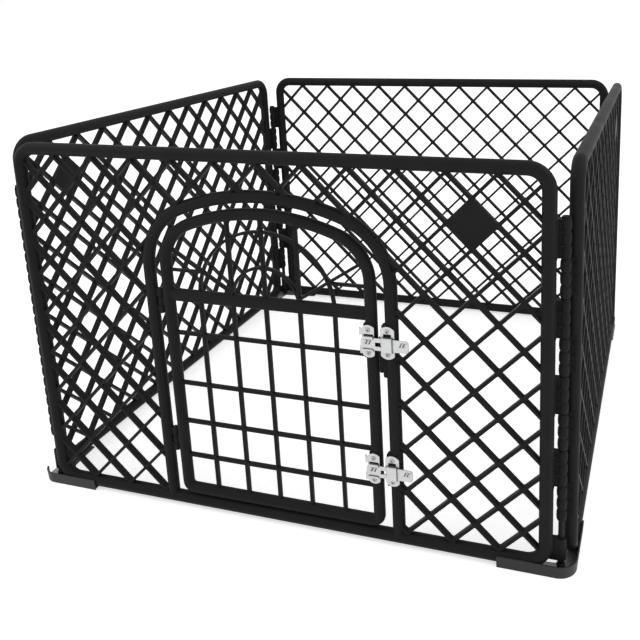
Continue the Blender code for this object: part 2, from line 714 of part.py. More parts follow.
def latch_plate(height):
    """The guide plate on the door's stile, with lips over the bolt and two wrapped tabs."""
    half_width = LATCH_PLATE_WIDTH / 2
    x_low = PLATE_CENTRE_X - half_width
    x_high = PLATE_CENTRE_X + half_width
    bolt = height - BOLT_BELOW_CENTRE
    pieces = [plate(ear_outline(PLATE_CENTRE_X, height, LATCH_PLATE_WIDTH, PLATE_END_RADIUS),
                    LATCH_SHEET, PLATE_MIDDLE)]
    for side in (-1, 1):
        edge = bolt + side * (BOLT_WIDTH / 2 + BOLT_CLEARANCE)
        outer = edge + side * LATCH_SHEET
        lip_end = edge - side * (BOLT_CLEARANCE + PLATE_LIP_REACH)
        lip_back = LIP_FACE + LATCH_SHEET
        lip = [(PLATE_MIDDLE, edge), (PLATE_MIDDLE, outer), (LIP_FACE, outer),
               (LIP_FACE, lip_end), (lip_back, lip_end), (lip_back, edge)]
        pieces.append(section(lip, x_low + PLATE_LIP_SHORT, x_high - PLATE_LIP_SHORT))
        tab = height + side * (LATCH_PLATE_HEIGHT / 2 - SCREW_FROM_PLATE_END
                               - LATCH_TAB_FROM_SCREW)
        pieces.append(box((x_low - LATCH_TAB_REACH, PLATE_MIDDLE - LATCH_TAB_SHEET / 2,
                           tab - LATCH_TAB_HEIGHT / 2),
                          (x_low + LATCH_SHEET, PLATE_MIDDLE + LATCH_TAB_SHEET / 2,
                           tab + LATCH_TAB_HEIGHT / 2)))
    return without(united(pieces), screw_holes(PLATE_CENTRE_X, height))


def latch_keeper(height):
    """The keeper on the jamb: a plate whose middle is pressed up into a bridge."""
    body = plate(ear_outline(KEEPER_CENTRE_X, height, KEEPER_WIDTH, KEEPER_END_RADIUS),
                 LATCH_SHEET, PLATE_MIDDLE)
    x_low = KEEPER_CENTRE_X - KEEPER_BRIDGE_WIDTH / 2
    x_high = KEEPER_CENTRE_X + KEEPER_BRIDGE_WIDTH / 2
    inner = BOLT_WIDTH / 2 + BOLT_CLEARANCE
    outer = inner + LATCH_SHEET
    roof_back = BRIDGE_FACE + LATCH_SHEET
    bolt = height - BOLT_BELOW_CENTRE
    slot = box((x_low, PLATE_FACE - CUTTER_MARGIN, bolt + outer),
               (x_high, PLATE_FACE + CUTTER_MARGIN, bolt + outer + KEEPER_SLOT_HEIGHT))
    bridge = [(PLATE_MIDDLE, bolt - outer), (BRIDGE_FACE, bolt - outer),
              (BRIDGE_FACE, bolt + outer), (PLATE_MIDDLE, bolt + outer),
              (PLATE_MIDDLE, bolt + inner), (roof_back, bolt + inner),
              (roof_back, bolt - inner), (PLATE_MIDDLE, bolt - inner)]
    body = united([without(body, slot), section(bridge, x_low, x_high)])
    return without(body, screw_holes(KEEPER_CENTRE_X, height))


def latch_bolt(height):
    """The sliding bolt strap with its window and slanted thumb ridges."""
    bolt = height - BOLT_BELOW_CENTRE
    rise = BOLT_WIDTH / 2 - BOLT_CORNER_RADIUS
    left = BOLT_START + BOLT_CORNER_RADIUS
    right = BOLT_END - BOLT_CORNER_RADIUS
    corners = ((right, bolt + rise), (right, bolt - rise), (left, bolt - rise), (left, bolt + rise))
    outline = []
    for quarter, corner in enumerate(corners):
        outline += arc(corner, BOLT_CORNER_RADIUS, 90 - 90 * quarter, -90 * quarter, 3)
    body = plate(outline, BOLT_SHEET, (BOLT_BACK + BOLT_FACE) / 2)
    window = box((PLATE_CENTRE_X + BOLT_SLOT_FROM_PLATE, BOLT_FACE - CUTTER_MARGIN,
                  bolt - BOLT_SLOT_WIDTH / 2),
                 (KEEPER_CENTRE_X - BOLT_SLOT_FROM_KEEPER, BOLT_BACK + CUTTER_MARGIN,
                  bolt + BOLT_SLOT_WIDTH / 2))
    body = without(body, window)
    lean = BOLT_RIDGE_LEAN / 2
    rise = BOLT_RIDGE_LENGTH / 2
    ridges = []
    for x in ([BOLT_START + place for place in RIDGES_FROM_BOLT_START]
              + [BOLT_END - place for place in RIDGES_FROM_BOLT_END]):
        ridge = bar((x - lean, bolt - rise), (x + lean, bolt + rise), BOLT_RIDGE_WIDTH,
                    2 * BOLT_RIDGE_PROUD)
        ridge.data.transform(Matrix.Translation((0, BOLT_FACE, 0)))
        ridges.append(ridge)
    return united([body] + ridges)


def screw(centre_x, height):
    """A latch screw, its head on the plate."""
    under_head = PLATE_FACE - FIT_GAP
    head = cylinder(SCREW_HEAD_TOP_DIAMETER, under_head - SCREW_HEAD_HEIGHT, under_head,
                    (centre_x, height), 8, "Y", SCREW_HEAD_DIAMETER)
    shank = cylinder(SCREW_SHANK_DIAMETER, under_head - SCREW_HEAD_HEIGHT / 2,
                     -LATCH_SEAT + SCREW_SHANK_LENGTH - FIT_GAP, (centre_x, height), 6, "Y")
    return united([head, shank])


def corner_rod():
    """A rod through a corner's combs, with its head on top and its collar on the foot."""
    head_seat = PANEL_MIDDLE + COMB_TOP - COMB_CLEARANCE / 2 + FIT_GAP
    collar_low = FOOT_BASE_HEIGHT + FIT_GAP
    collar_top = collar_low + ROD_COLLAR_HEIGHT
    tip = FOOT_BASE_HEIGHT - FOOT_SOCKET_DEPTH + FIT_GAP
    rod = ROD_DIAMETER / 2
    head = ROD_HEAD_DIAMETER / 2
    collar = ROD_COLLAR_DIAMETER / 2
    profile = [(ROD_HEAD_TOP_DIAMETER / 2, head_seat + ROD_HEAD_HEIGHT),
               (head, head_seat + ROD_HEAD_HEIGHT / 2), (head, head_seat), (rod, head_seat),
               (rod, collar_top + ROD_COLLAR_TAPER), (collar, collar_top), (collar, collar_low),
               (rod, collar_low), (rod, tip)]
    return turned(profile, (0.0, 0.0))


def flat_solid(points, bottom, top):
    """An outline of (x, y) points, upright between two heights."""
    made = plate(points, top - bottom)
    made.data.transform(Matrix.Translation((0, 0, (top + bottom) / 2))
                        @ Matrix.Rotation(-math.pi / 2, 4, "X"))
    return made


def foot(open_corner):
    """An L shaped foot, drawn for the corner at the pen's front right: its outer faces are at
    x = FOOT_OUTER and y = -FOOT_OUTER, and its arms run to -x and +y, narrower towards their
    ends. Where the pen's corner opens as it folds, the side arm's wall is left out so that the
    panel can swing over it."""
    outer = FOOT_OUTER
    end = outer - FOOT_ARM_LENGTH
    inner = outer - FOOT_ARM_WIDTH
    end_inner = outer - FOOT_ARM_END_WIDTH
    round_centre = (outer - FOOT_CORNER_RADIUS, -outer + FOOT_CORNER_RADIUS)
    rim = arc(round_centre, FOOT_CORNER_RADIUS, -90, 0, 5)
    outline = [(end, -outer)] + rim + [(outer, -end), (end_inner, -end), (inner, -inner),
                                       (end, -end_inner)]
    base = flat_solid(outline, 0.0, FOOT_BASE_HEIGHT)
    wall_inner = outer - FOOT_WALL_THICKNESS
    inside = arc(round_centre, FOOT_CORNER_RADIUS - FOOT_WALL_THICKNESS, 0, -90, 5)
    band = [(end, -outer)] + rim + [(outer, -end), (wall_inner, -end)] + inside + [(end, -wall_inner)]
    wall = flat_solid(band, FOOT_BASE_HEIGHT / 2, FOOT_WALL_HEIGHT)
    if open_corner:
        wall = without(wall, box((0, -outer + FOLD_WALL_LENGTH, -CUTTER_MARGIN),
                                 (outer + CUTTER_MARGIN, 0, FOOT_WALL_HEIGHT + CUTTER_MARGIN)))
    body = united([base, wall])
    socket = bore(ROD_DIAMETER + 2 * ROD_CLEARANCE, FOOT_BASE_HEIGHT - FOOT_SOCKET_DEPTH,
                  FOOT_WALL_HEIGHT + CUTTER_MARGIN, (HINGE_FROM_CENTRE, -HINGE_FROM_CENTRE))
    return without(body, socket)


def empty(name, place):
    """An empty at a joint's place."""
    guide = bpy.data.objects.new(name, None)
    PEN.objects.link(guide)
    guide.empty_display_size = 0.05
    guide.location = place
    return guide


def add_node(name, body, finish, transform, parent=None, origin=(0, 0, 0)):
    """Place a finished piece in the pen, with its origin at a joint's place."""
    body.data.transform(transform)
    body.data.transform(Matrix.Translation(-Vector(origin)))
    finish_mesh(body)
    body.name = name
    body.data.name = name
    CUTTERS.objects.unlink(body)
    PEN.objects.link(body)
    body.hide_render = False
    body.display_type = "TEXTURED"
    body.data.materials.clear()
    body.data.materials.append(finish)
    body.data.shade_smooth()
    body.data.set_sharp_from_angle(angle=math.radians(35))
    body.location = origin
    if parent is not None:
        bpy.context.view_layer.update()
        body.parent = parent
        body.matrix_parent_inverse = parent.matrix_world.inverted()
    return body


def panel_place(turn):
    """From a panel's own frame to the pen: out from the centre, then turned about it."""
    out = Matrix.Translation((0, -PANEL_FROM_CENTRE, PANEL_MIDDLE))
    return PEN_SHIFT @ Matrix.Rotation(math.radians(turn), 4, "Z") @ out


PEN_SHIFT = Matrix.Translation((0, CENTRE_SHIFT, 0))
HINGE = HINGE_FROM_CENTRE


def build():
    """Make every piece of the pen and hang the moving ones on empties at their joints."""
    folds = {"left": empty("left_fold", (-HINGE, -HINGE + CENTRE_SHIFT, 0)),
             "right": empty("right_fold", (HINGE, -HINGE + CENTRE_SHIFT, 0)),
             "back": empty("back_fold", (-HINGE, HINGE + CENTRE_SHIFT, 0))}
    bpy.context.view_layer.update()
    front = panel_place(0)
    add_node("front_panel", front_panel(), BLACK_PLASTIC, front)
    add_node("right_panel", plain_panel(False, True), BLACK_PLASTIC, panel_place(90),
             folds["right"], folds["right"].location)
    add_node("left_panel", plain_panel(False, True), BLACK_PLASTIC, panel_place(-90),
             folds["left"], folds["left"].location)
    folds["back"].parent = folds["left"]
    folds["back"].matrix_parent_inverse = folds["left"].matrix_world.inverted()
    bpy.context.view_layer.update()
    back = add_node("back_panel", plain_panel(True, False), BLACK_PLASTIC, panel_place(180),
                    folds["back"], folds["back"].matrix_world.translation)
    back.location = (0, 0, 0)
    back.parent = folds["back"]
    back.matrix_parent_inverse = Matrix.Identity(4)

    swing = empty("door_swing", front @ Vector((DOOR_HINGE_X, 0, 0)))
    bpy.context.view_layer.update()
    add_node("door", door(), DOOR_PLASTIC, front, swing, swing.location)
    for level, height in zip(("upper", "lower"), DOOR_HINGE_HEIGHTS):
        add_node("hinge_pin_" + level, hinge_pin(height), PIN_STEEL, front)
    for level, height in zip(("upper", "lower"), LATCH_HEIGHTS):
        add_node("latch_plate_" + level, latch_plate(height), LATCH_METAL, front, swing)
        add_node("latch_keeper_" + level, latch_keeper(height), LATCH_METAL, front)
        add_node("latch_bolt_" + level, latch_bolt(height), LATCH_METAL, front, swing)
        for end, place in zip(("low", "high"), screw_places(height)):
            add_node("plate_screw_%s_%s" % (level, end), screw(PLATE_CENTRE_X, place),
                     LATCH_METAL, front, swing)
            add_node("keeper_screw_%s_%s" % (level, end), screw(KEEPER_CENTRE_X, place),
                     LATCH_METAL, front)

    # Opening corners are the front left and the back right, closing corners the other two
    corners = (("front_right", 0, False, None), ("back_right", 90, True, folds["back"]),
               ("back_left", 180, False, folds["back"]), ("front_left", -90, True, None))
    for name, turn, opens, parent in corners:
        spin = PEN_SHIFT @ Matrix.Rotation(math.radians(turn), 4, "Z")
        rod_place = spin @ Matrix.Translation((HINGE, -HINGE, 0))
        add_node("corner_rod_" + name, corner_rod(), ROD_PLASTIC, rod_place, parent)
        body = foot(opens)
        if opens:
            # The open corner's foot is the mirror image, so that its whole wall faces out
            body.data.transform(Matrix(((0, -1, 0, 0), (-1, 0, 0, 0), (0, 0, 1, 0), (0, 0, 0, 1))))
            finish_mesh(body)
        add_node("foot_" + name, body, FOOT_PLASTIC, spin, parent)


build()
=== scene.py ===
import json
import math

import bmesh
import bpy
import numpy as np
from mathutils import Matrix, Vector


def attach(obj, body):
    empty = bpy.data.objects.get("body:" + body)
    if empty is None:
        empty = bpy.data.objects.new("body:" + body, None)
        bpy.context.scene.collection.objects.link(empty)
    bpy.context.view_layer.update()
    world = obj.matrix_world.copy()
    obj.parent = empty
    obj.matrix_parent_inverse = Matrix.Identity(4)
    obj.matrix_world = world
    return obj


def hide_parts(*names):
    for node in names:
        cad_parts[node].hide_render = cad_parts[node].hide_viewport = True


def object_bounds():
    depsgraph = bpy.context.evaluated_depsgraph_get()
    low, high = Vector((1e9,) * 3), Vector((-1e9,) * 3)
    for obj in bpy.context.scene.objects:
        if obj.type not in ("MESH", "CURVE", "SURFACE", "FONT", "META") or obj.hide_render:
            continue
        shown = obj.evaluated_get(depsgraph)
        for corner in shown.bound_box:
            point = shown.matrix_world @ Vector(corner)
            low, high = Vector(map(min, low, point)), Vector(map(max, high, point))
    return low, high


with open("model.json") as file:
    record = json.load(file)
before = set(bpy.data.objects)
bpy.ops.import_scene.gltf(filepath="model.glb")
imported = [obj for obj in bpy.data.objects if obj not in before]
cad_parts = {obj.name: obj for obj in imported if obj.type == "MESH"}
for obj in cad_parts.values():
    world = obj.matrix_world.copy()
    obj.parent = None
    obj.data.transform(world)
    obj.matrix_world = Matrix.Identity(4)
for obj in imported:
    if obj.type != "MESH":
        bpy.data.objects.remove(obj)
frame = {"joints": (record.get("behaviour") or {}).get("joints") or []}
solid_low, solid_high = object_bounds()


# Camera
# The pen is seen from outside its front right corner and from above its top rail. The photograph's
# tubes stand nearly upright, so the lens is shifted, but less than would fit them best, because a
# larger shift cuts the pen off in views from other sides.
CAMERA_PLACE = (0.5426, -1.4016, 0.8044)
CAMERA_TURN = (-13.4928, -1.6490, 17.7137)
CAMERA_LENS, CAMERA_SENSOR = 44.3830, 36.0
CAMERA_SHIFT = (-0.1500, -0.2200)

lens = bpy.data.cameras.new("camera")
lens.lens = CAMERA_LENS
lens.sensor_width = CAMERA_SENSOR
lens.shift_x, lens.shift_y = CAMERA_SHIFT
camera = bpy.data.objects.new("camera", lens)
bpy.context.scene.collection.objects.link(camera)
tilt, roll, pan = (math.radians(angle) for angle in CAMERA_TURN)
camera.matrix_world = (Matrix.Translation(CAMERA_PLACE) @ Matrix.Rotation(pan, 4, "Z")
                       @ Matrix.Rotation(math.pi / 2 + tilt, 4, "X")
                       @ Matrix.Rotation(roll, 4, "Z"))
bpy.context.scene.camera = camera


# Studio
# A white floor that runs out of sight, a white surround and two broad soft lamps. The key stands
# to the right and above, so that tops and right-hand faces of the pen read lighter.
SKY_LIGHT = 0.62
WHITE = (1.0, 1.0, 1.0, 1.0)
FLOOR_SIZE = 40.0
FLOOR_LIFT = 0.56
KEY_PLACE, KEY_WATTS = (2.6, -0.4, 2.4), 18.0
FILL_PLACE, FILL_WATTS = (-2.2, -1.4, 2.2), 12.0
LAMP_SIZE = 1.6
LAMP_AIM = (0.0, 0.0, 0.3)


def own_tree(owner):
    """A world's or a material's own node tree, switched on."""
    owner.use_nodes = True
    return owner.node_tree


def feed(node, inputs):
    """Link each named input of a node to the socket given for it, or set it to a plain value."""
    for name, value in inputs.items():
        if isinstance(value, bpy.types.NodeSocket):
            node.id_data.links.new(value, node.inputs[name])
        else:
            node.inputs[name].default_value = value
    return node


def new_node(tree, kind, inputs, operation=None):
    """A new shader node of a kind, with its operation and inputs."""
    node = tree.nodes.new(kind)
    if operation:
        node.operation = operation
    return feed(node, inputs)


def seen_directly(tree):
    """A socket that is 1 for camera, mirror and see-through rays and 0 for light that bounces."""
    path = new_node(tree, "ShaderNodeLightPath", {})
    socket = path.outputs["Is Camera Ray"]
    for ray in ("Is Glossy Ray", "Is Transmission Ray"):
        larger = new_node(tree, "ShaderNodeMath", {0: socket, 1: path.outputs[ray]}, "MAXIMUM")
        socket = larger.outputs[0]
    return socket


def white_surround():
    """A soft white world that reads pure white where it is seen."""
    world = bpy.data.worlds.new("studio")
    bpy.context.scene.world = world
    tree = own_tree(world)
    light = feed(tree.nodes["Background"], {"Color": WHITE, "Strength": SKY_LIGHT})
    white = new_node(tree, "ShaderNodeBackground", {"Color": WHITE})
    blend = new_node(tree, "ShaderNodeMixShader",
                     {0: seen_directly(tree), 1: light.outputs[0], 2: white.outputs[0]})
    feed(tree.nodes["World Output"], {"Surface": blend.outputs[0]})


def white_floor():
    """A matt white floor, lifted to white where it is seen, which keeps the pen's shadow."""
    bpy.ops.mesh.primitive_plane_add(size=FLOOR_SIZE, location=(0.0, 0.0, solid_low[2]))
    floor = bpy.context.object
    floor.name = "floor"
    finish = bpy.data.materials.new("floor_white")
    tree = own_tree(finish)
    matt = feed(tree.nodes["Principled BSDF"],
                {"Base Color": WHITE, "Roughness": 1.0, "Specular IOR Level": 0.0})
    lift = new_node(tree, "ShaderNodeMath", {0: seen_directly(tree), 1: FLOOR_LIFT}, "MULTIPLY")
    glow = new_node(tree, "ShaderNodeEmission", {"Strength": lift.outputs[0]})
    both = new_node(tree, "ShaderNodeAddShader", {0: matt.outputs[0], 1: glow.outputs[0]})
    feed(tree.nodes["Material Output"], {"Surface": both.outputs[0]})
    floor.data.materials.append(finish)


def soft_lamp(name, place, watts):
    """A square area lamp at a place, turned to face the pen."""
    data = bpy.data.lights.new(name, "AREA")
    data.shape = "SQUARE"
    data.size = LAMP_SIZE
    data.energy = watts
    lamp = bpy.data.objects.new(name, data)
    bpy.context.scene.collection.objects.link(lamp)
    way = Vector(LAMP_AIM) - Vector(place)
    lamp.matrix_world = (Matrix.Translation(place)
                         @ way.to_track_quat("-Z", "Y").to_matrix().to_4x4())


white_surround()
white_floor()
soft_lamp("key", KEY_PLACE, KEY_WATTS)
soft_lamp("fill", FILL_PLACE, FILL_WATTS)


# Panel edge tubes
# Each of the four panels is one moulding of black polypropylene, framed by a thick round tube
# that turns its corners on a wide radius. The tube is swept along the panel's outline.
PANEL_WIDTH = 0.842
PANEL_HEIGHT = 0.5906
TUBE_DIAMETER = 0.0199
TUBE_CORNER = 0.029
TUBE_CORNER_STEPS = 10
TUBE_SIDES = 28
HINGE_INWARD = 0.011
PANELS = {"front": 0.0, "right": 90.0, "left": -90.0, "back": 180.0}
PANEL_COLOUR = (0.0165, 0.0165, 0.0168)
WELD_DISTANCE = 0.000002
FLOW_SCALE, FLOW_DETAIL = 26.0, 4.0
FLOW_DARK, FLOW_LIGHT = (0.32, 0.86), (0.72, 1.18)
FLOW_RANGE = (0.3, 0.7)
FLOW_GLOSS = (-0.05, 0.07)
PEBBLE_DETAIL, PEBBLE_STRENGTH = 2.0, 0.5

joint_places = {joint["name"]: joint.get("pos_m") for joint in frame["joints"]}
hinge_reach = joint_places["right_fold"][0]
panel_middle = joint_places["left_fold"][2]
pen_middle = (joint_places["left_fold"][1] + joint_places["back_fold"][1]) / 2
panel_reach = hinge_reach + HINGE_INWARD
half_tube = TUBE_DIAMETER / 2
centre_width = PANEL_WIDTH / 2 - half_tube
centre_height = PANEL_HEIGHT / 2 - half_tube


def arc(centre, radius, start, end, steps):
    """Points centre + radius (cos a, sin a) for angles a from start to end, in degrees."""
    turn = np.radians(np.linspace(start, end, steps + 1))
    return np.array(centre) + radius * np.stack((np.cos(turn), np.sin(turn)), axis=-1)


def round_section(radius, sides=24):
    """A round tube's cross section, radius (cos a, sin a) for angles a all the way round."""
    return arc((0.0, 0.0), radius, 0.0, 360.0, sides)[:-1]


def rounded_rectangle(half_width, half_height, radius, steps):
    """A rectangle's outline with quarter circles at its corners, counter-clockwise."""
    quarters = []
    for quarter, (side, level) in enumerate(((1, 1), (-1, 1), (-1, -1), (1, -1))):
        centre = (side * (half_width - radius), level * (half_height - radius))
        quarters.append(arc(centre, radius, 90 * quarter, 90 * quarter + 90, steps))
    return np.concatenate(quarters)


def mitres(path, closed):
    """The outward normal at each point of a path, (a + b) / (1 + a.b) for the unit normals a and
    b of the two runs that meet there, so that an offset keeps its width round a corner."""
    run = np.roll(path, -1, axis=0) - path
    if not closed:
        run[-1] = run[-2]
    normal = np.stack((run[:, 1], -run[:, 0]), axis=-1)
    normal /= np.linalg.norm(normal, axis=1, keepdims=True)
    before = np.roll(normal, 1, axis=0)
    if not closed:
        before[0] = normal[0]
    return (normal + before) / (1 + (normal * before).sum(axis=1, keepdims=True))


def grid_faces(rows, columns, rows_meet, columns_meet=True):
    """Quads between the neighbours of a rows by columns grid, wrapped round where ends meet."""
    row = np.arange(rows if rows_meet else rows - 1)[:, None]
    column = np.arange(columns if columns_meet else columns - 1)[None, :]
    below = (row + 1) % rows
    beside = (column + 1) % columns
    quads = np.stack((row * columns + column, row * columns + beside,
                      below * columns + beside, below * columns + column), axis=-1)
    return quads.reshape(-1, 4).tolist()


def swept(path, section, closed=False):
    """A section carried along a path of (x, z) points. Each section point (a, b) lands at the
    path's point + a times its mitred normal, and b inward along y. Open ends get caps."""
    path = np.asarray(path, float)
    flat = path[:, None] + mitres(path, closed)[:, None] * section[None, :, :1]
    depth = np.broadcast_to(section[:, 1], flat.shape[:2])
    points = np.stack((flat[..., 0], depth, flat[..., 1]), axis=-1).reshape(-1, 3)
    faces = grid_faces(len(path), len(section), closed)
    if not closed:
        faces += [list(range(len(section))), list(range(len(points) - len(section), len(points)))]
    return points, faces


def piece(name, shells, finish, turn=None, crease=32.0):
    """One object from shells of (points, faces). With a turn, the points are a panel's own:
    moved out to its side of the pen and up to its middle, then turned about the pen."""
    points, faces, count = [], [], 0
    for shell_points, shell_faces in shells:
        points.append(shell_points)
        faces += [[corner + count for corner in face] for face in shell_faces]
        count += len(shell_points)
    points = np.concatenate(points)
    if turn is not None:
        cos, sin = math.cos(math.radians(turn)), math.sin(math.radians(turn))
        x, y, z = points[:, 0], points[:, 1] - panel_reach, points[:, 2]
        points = np.stack((x * cos - y * sin, x * sin + y * cos + pen_middle,
                           z + panel_middle), axis=-1)
    mesh = bpy.data.meshes.new(name)
    mesh.from_pydata(points.tolist(), [], faces)
    shape = bmesh.new()
    shape.from_mesh(mesh)
    bmesh.ops.remove_doubles(shape, verts=shape.verts, dist=WELD_DISTANCE)
    bmesh.ops.recalc_face_normals(shape, faces=shape.faces)
    shape.to_mesh(mesh)
    shape.free()
    mesh.shade_smooth()
    mesh.set_sharp_from_angle(angle=math.radians(crease))
    made = bpy.data.objects.new(name, mesh)
    bpy.context.scene.collection.objects.link(made)
    made.data.materials.append(finish)
    return made


def dress(made, body, node):
    """Let a piece ride on a body, in place of a node of the CAD."""
    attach(made, body)
    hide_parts(node)


def ramp(tree, share, low, high):
    """A colour that runs between two stops, each a position and a colour, as share grows."""
    node = new_node(tree, "ShaderNodeValToRGB", {"Fac": share})
    for stop, (position, colour) in zip(node.color_ramp.elements, (low, high)):
        stop.position = position
        stop.color = (*colour, 1.0)
    return node.outputs["Color"]


def moulded_plastic(name, colour, gloss, shine, grain=0.00045, relief=0.00003):
    """Moulded plastic: cloudy flow marks vary its tone and roughness, and a fine pebbled grain,
    grain metres across and relief metres high, breaks up its highlights."""
    finish = bpy.data.materials.new(name)
    tree = own_tree(finish)
    place = new_node(tree, "ShaderNodeTexCoord", {}).outputs["Object"]
    clouds = new_node(tree, "ShaderNodeTexNoise", {
        "Vector": place, "Scale": FLOW_SCALE, "Detail": FLOW_DETAIL}).outputs["Fac"]
    low, high = ((position, [share * part for part in colour])
                 for position, share in (FLOW_DARK, FLOW_LIGHT))
    rough = new_node(tree, "ShaderNodeMapRange", {
        "Value": clouds, "From Min": FLOW_RANGE[0], "From Max": FLOW_RANGE[1],
        "To Min": gloss + FLOW_GLOSS[0], "To Max": gloss + FLOW_GLOSS[1]})
    pebbles = new_node(tree, "ShaderNodeTexNoise", {
        "Vector": place, "Scale": 1.0 / grain, "Detail": PEBBLE_DETAIL})
    bump = new_node(tree, "ShaderNodeBump", {
        "Height": pebbles.outputs["Fac"], "Strength": PEBBLE_STRENGTH, "Distance": relief})
    feed(tree.nodes["Principled BSDF"], {
        "Base Color": ramp(tree, clouds, low, high), "Roughness": rough.outputs["Result"],
        "Specular IOR Level": shine, "Normal": bump.outputs["Normal"]})
    return finish


panel_plastic = moulded_plastic("panel_plastic", PANEL_COLOUR, gloss=0.52, shine=0.07)
tube_path = rounded_rectangle(centre_width, centre_height, TUBE_CORNER, TUBE_CORNER_STEPS)
for side, turn in PANELS.items():
    shell = swept(tube_path, round_section(half_tube, TUBE_SIDES), closed=True)
    edge_tube = piece(side + "_edge_tube", [shell], panel_plastic, turn)
    dress(edge_tube, side, side + "_panel")


# Lattice
# Slanting ribs cross inside the tube and leave diamond cells with small fillets. The ribs are
# widest at the mould's parting line and taper towards both faces. One cell of the front and side
# panels is filled by a plain plaque.
LATTICE_PITCH = 0.069
LATTICE_DEPTH = 0.0106
RIB_HALF_WIDTHS = (0.00195, 0.00225, 0.00235, 0.00250, 0.00235, 0.00225, 0.00195)
RIB_LEVELS = (-1.0, -0.965, -0.90, 0.0, 0.90, 0.965, 1.0)
CELL_FILLET = 0.0018
PLAQUE_CELL = (9, 6)
DIMPLE_SIZE = (0.0018, 0.0034)
DIMPLE_FROM_JAMB, DIMPLE_LEVELS = 0.0014, range(-3, 3)
DIMPLE_DEPTH, DIMPLE_CORNER = 0.0024, 0.0006
RIM_WELD = 0.00001

# The doorway's jamb tube follows a flattened arch: a wide crown arc between two shoulder arcs.
ARCH_CENTRE = -0.128
JAMB_DIAMETER = 0.0180
DOORWAY_HALF_WIDTH = 0.1845
DOORWAY_TOP = 0.2185
DOORWAY_SHOULDER = 0.0905

half_pitch = LATTICE_PITCH / 2
half_jamb = JAMB_DIAMETER / 2
jamb_x = DOORWAY_HALF_WIDTH + half_jamb


def arch(half_width, top, shoulder, crown_steps=28, shoulder_steps=12):
    """The right upright's top, shoulder, crown, and the left shoulder of a flattened arch. The
    crown is a circle about (0, ARCH_CENTRE), and the shoulders are small circles inside it."""
    crown = top - ARCH_CENTRE
    across = half_width - shoulder
    rise = math.sqrt((crown - shoulder) ** 2 - across ** 2)
    turn = math.degrees(math.atan2(rise, across))
    right = arc((across, ARCH_CENTRE + rise), shoulder, 0.0, turn, shoulder_steps)
    over = arc((0.0, ARCH_CENTRE), crown, turn, 180.0 - turn, crown_steps)[1:-1]
    return np.concatenate((right, over, right[::-1] * (-1, 1)))


def doorway_line():
    """The jamb tube's centre line, up from the sill on the right and down to it on the left."""
    over = arch(jamb_x, DOORWAY_TOP + half_jamb, DOORWAY_SHOULDER + half_jamb)
    return np.concatenate(([(jamb_x, -centre_height)], over, [(-jamb_x, -centre_height)]))


def fillet_points(out, radius):
    """Four corners of three points each. A corner's centre lies out from the middle, to the right,
    up, left or down, and its points lie a radius from it at -45, 0 and 45 degrees to that way."""
    way = np.radians(np.repeat(np.arange(4) * 90.0, 3))
    turn = way + np.radians(np.tile((-45.0, 0.0, 45.0), 4))
    return np.stack((out * np.cos(way) + radius * np.cos(turn),
                     out * np.sin(way) + radius * np.sin(turn)), axis=-1)


def cell_rows(half_widths):
    """A cell's hole for each rib half width e: four fillets of radius f, whose centres lie
    half_pitch - sqrt(2) (e + f) out from the cell's middle along its diagonals."""
    widths = np.asarray(half_widths)[:, None]
    return fillet_points(half_pitch - math.sqrt(2) * (widths + CELL_FILLET), CELL_FILLET)


def cell_border(half_width):
    """The cell's square border along the ribs' middles, with a point at each corner and one
    square to each end of the fillets, so that neighbouring cells share their border points."""
    reach = half_width + CELL_FILLET
    border = fillet_points(half_pitch - math.sqrt(2) * reach, reach)
    border[1::3] = fillet_points(half_pitch, 0.0)[1::3]
    return border


def lattice_block(plaque):
    """All the cells of a panel as one closed block that reaches past the tube: each cell carries
    the rib's profile round its hole, and neighbours join along the ribs' middles."""
    half_depth = LATTICE_DEPTH / 2
    columns = int((centre_width + half_pitch) / half_pitch)
    levels = int((centre_height + half_pitch) / half_pitch)
    column, level = (part.ravel() for part in np.meshgrid(np.arange(-columns, columns + 1),
                                                          np.arange(-levels, levels + 1)))
    open_cell = (column + level) % 2 == 1
    filled = (column == PLAQUE_CELL[0]) & (level == PLAQUE_CELL[1]) if plaque else column > columns
    middles = half_pitch * np.stack((column, level), axis=-1)
    border = cell_border(RIB_HALF_WIDTHS[0])
    rows = np.concatenate((border[None], cell_rows(RIB_HALF_WIDTHS), border[None]))
    depth = half_depth * np.array((RIB_LEVELS[0], *RIB_LEVELS, RIB_LEVELS[-1]))
    ring = np.stack((rows[..., 0], np.broadcast_to(depth[:, None], rows.shape[:2]), rows[..., 1]),
                    axis=-1)
    place = middles[open_cell & ~filled]
    shift = np.stack((place[:, 0], np.zeros(len(place)), place[:, 1]), axis=-1)
    points = (ring.reshape(1, -1, 3) + shift[:, None]).reshape(-1, 3)
    count = len(border)
    quads = np.array(grid_faces(len(rows), count, False))
    faces = (quads[None] + (np.arange(len(place)) * ring.size // 3)[:, None, None]).reshape(-1, 4)
    shells = [(points, faces.tolist())]
    for middle in middles[open_cell & filled]:
        both = np.concatenate([np.insert(border + middle, 1, y, axis=1)
                               for y in (-half_depth, half_depth)])
        shells.append((both, [list(range(count)), list(range(count, 2 * count))]))
    return shells


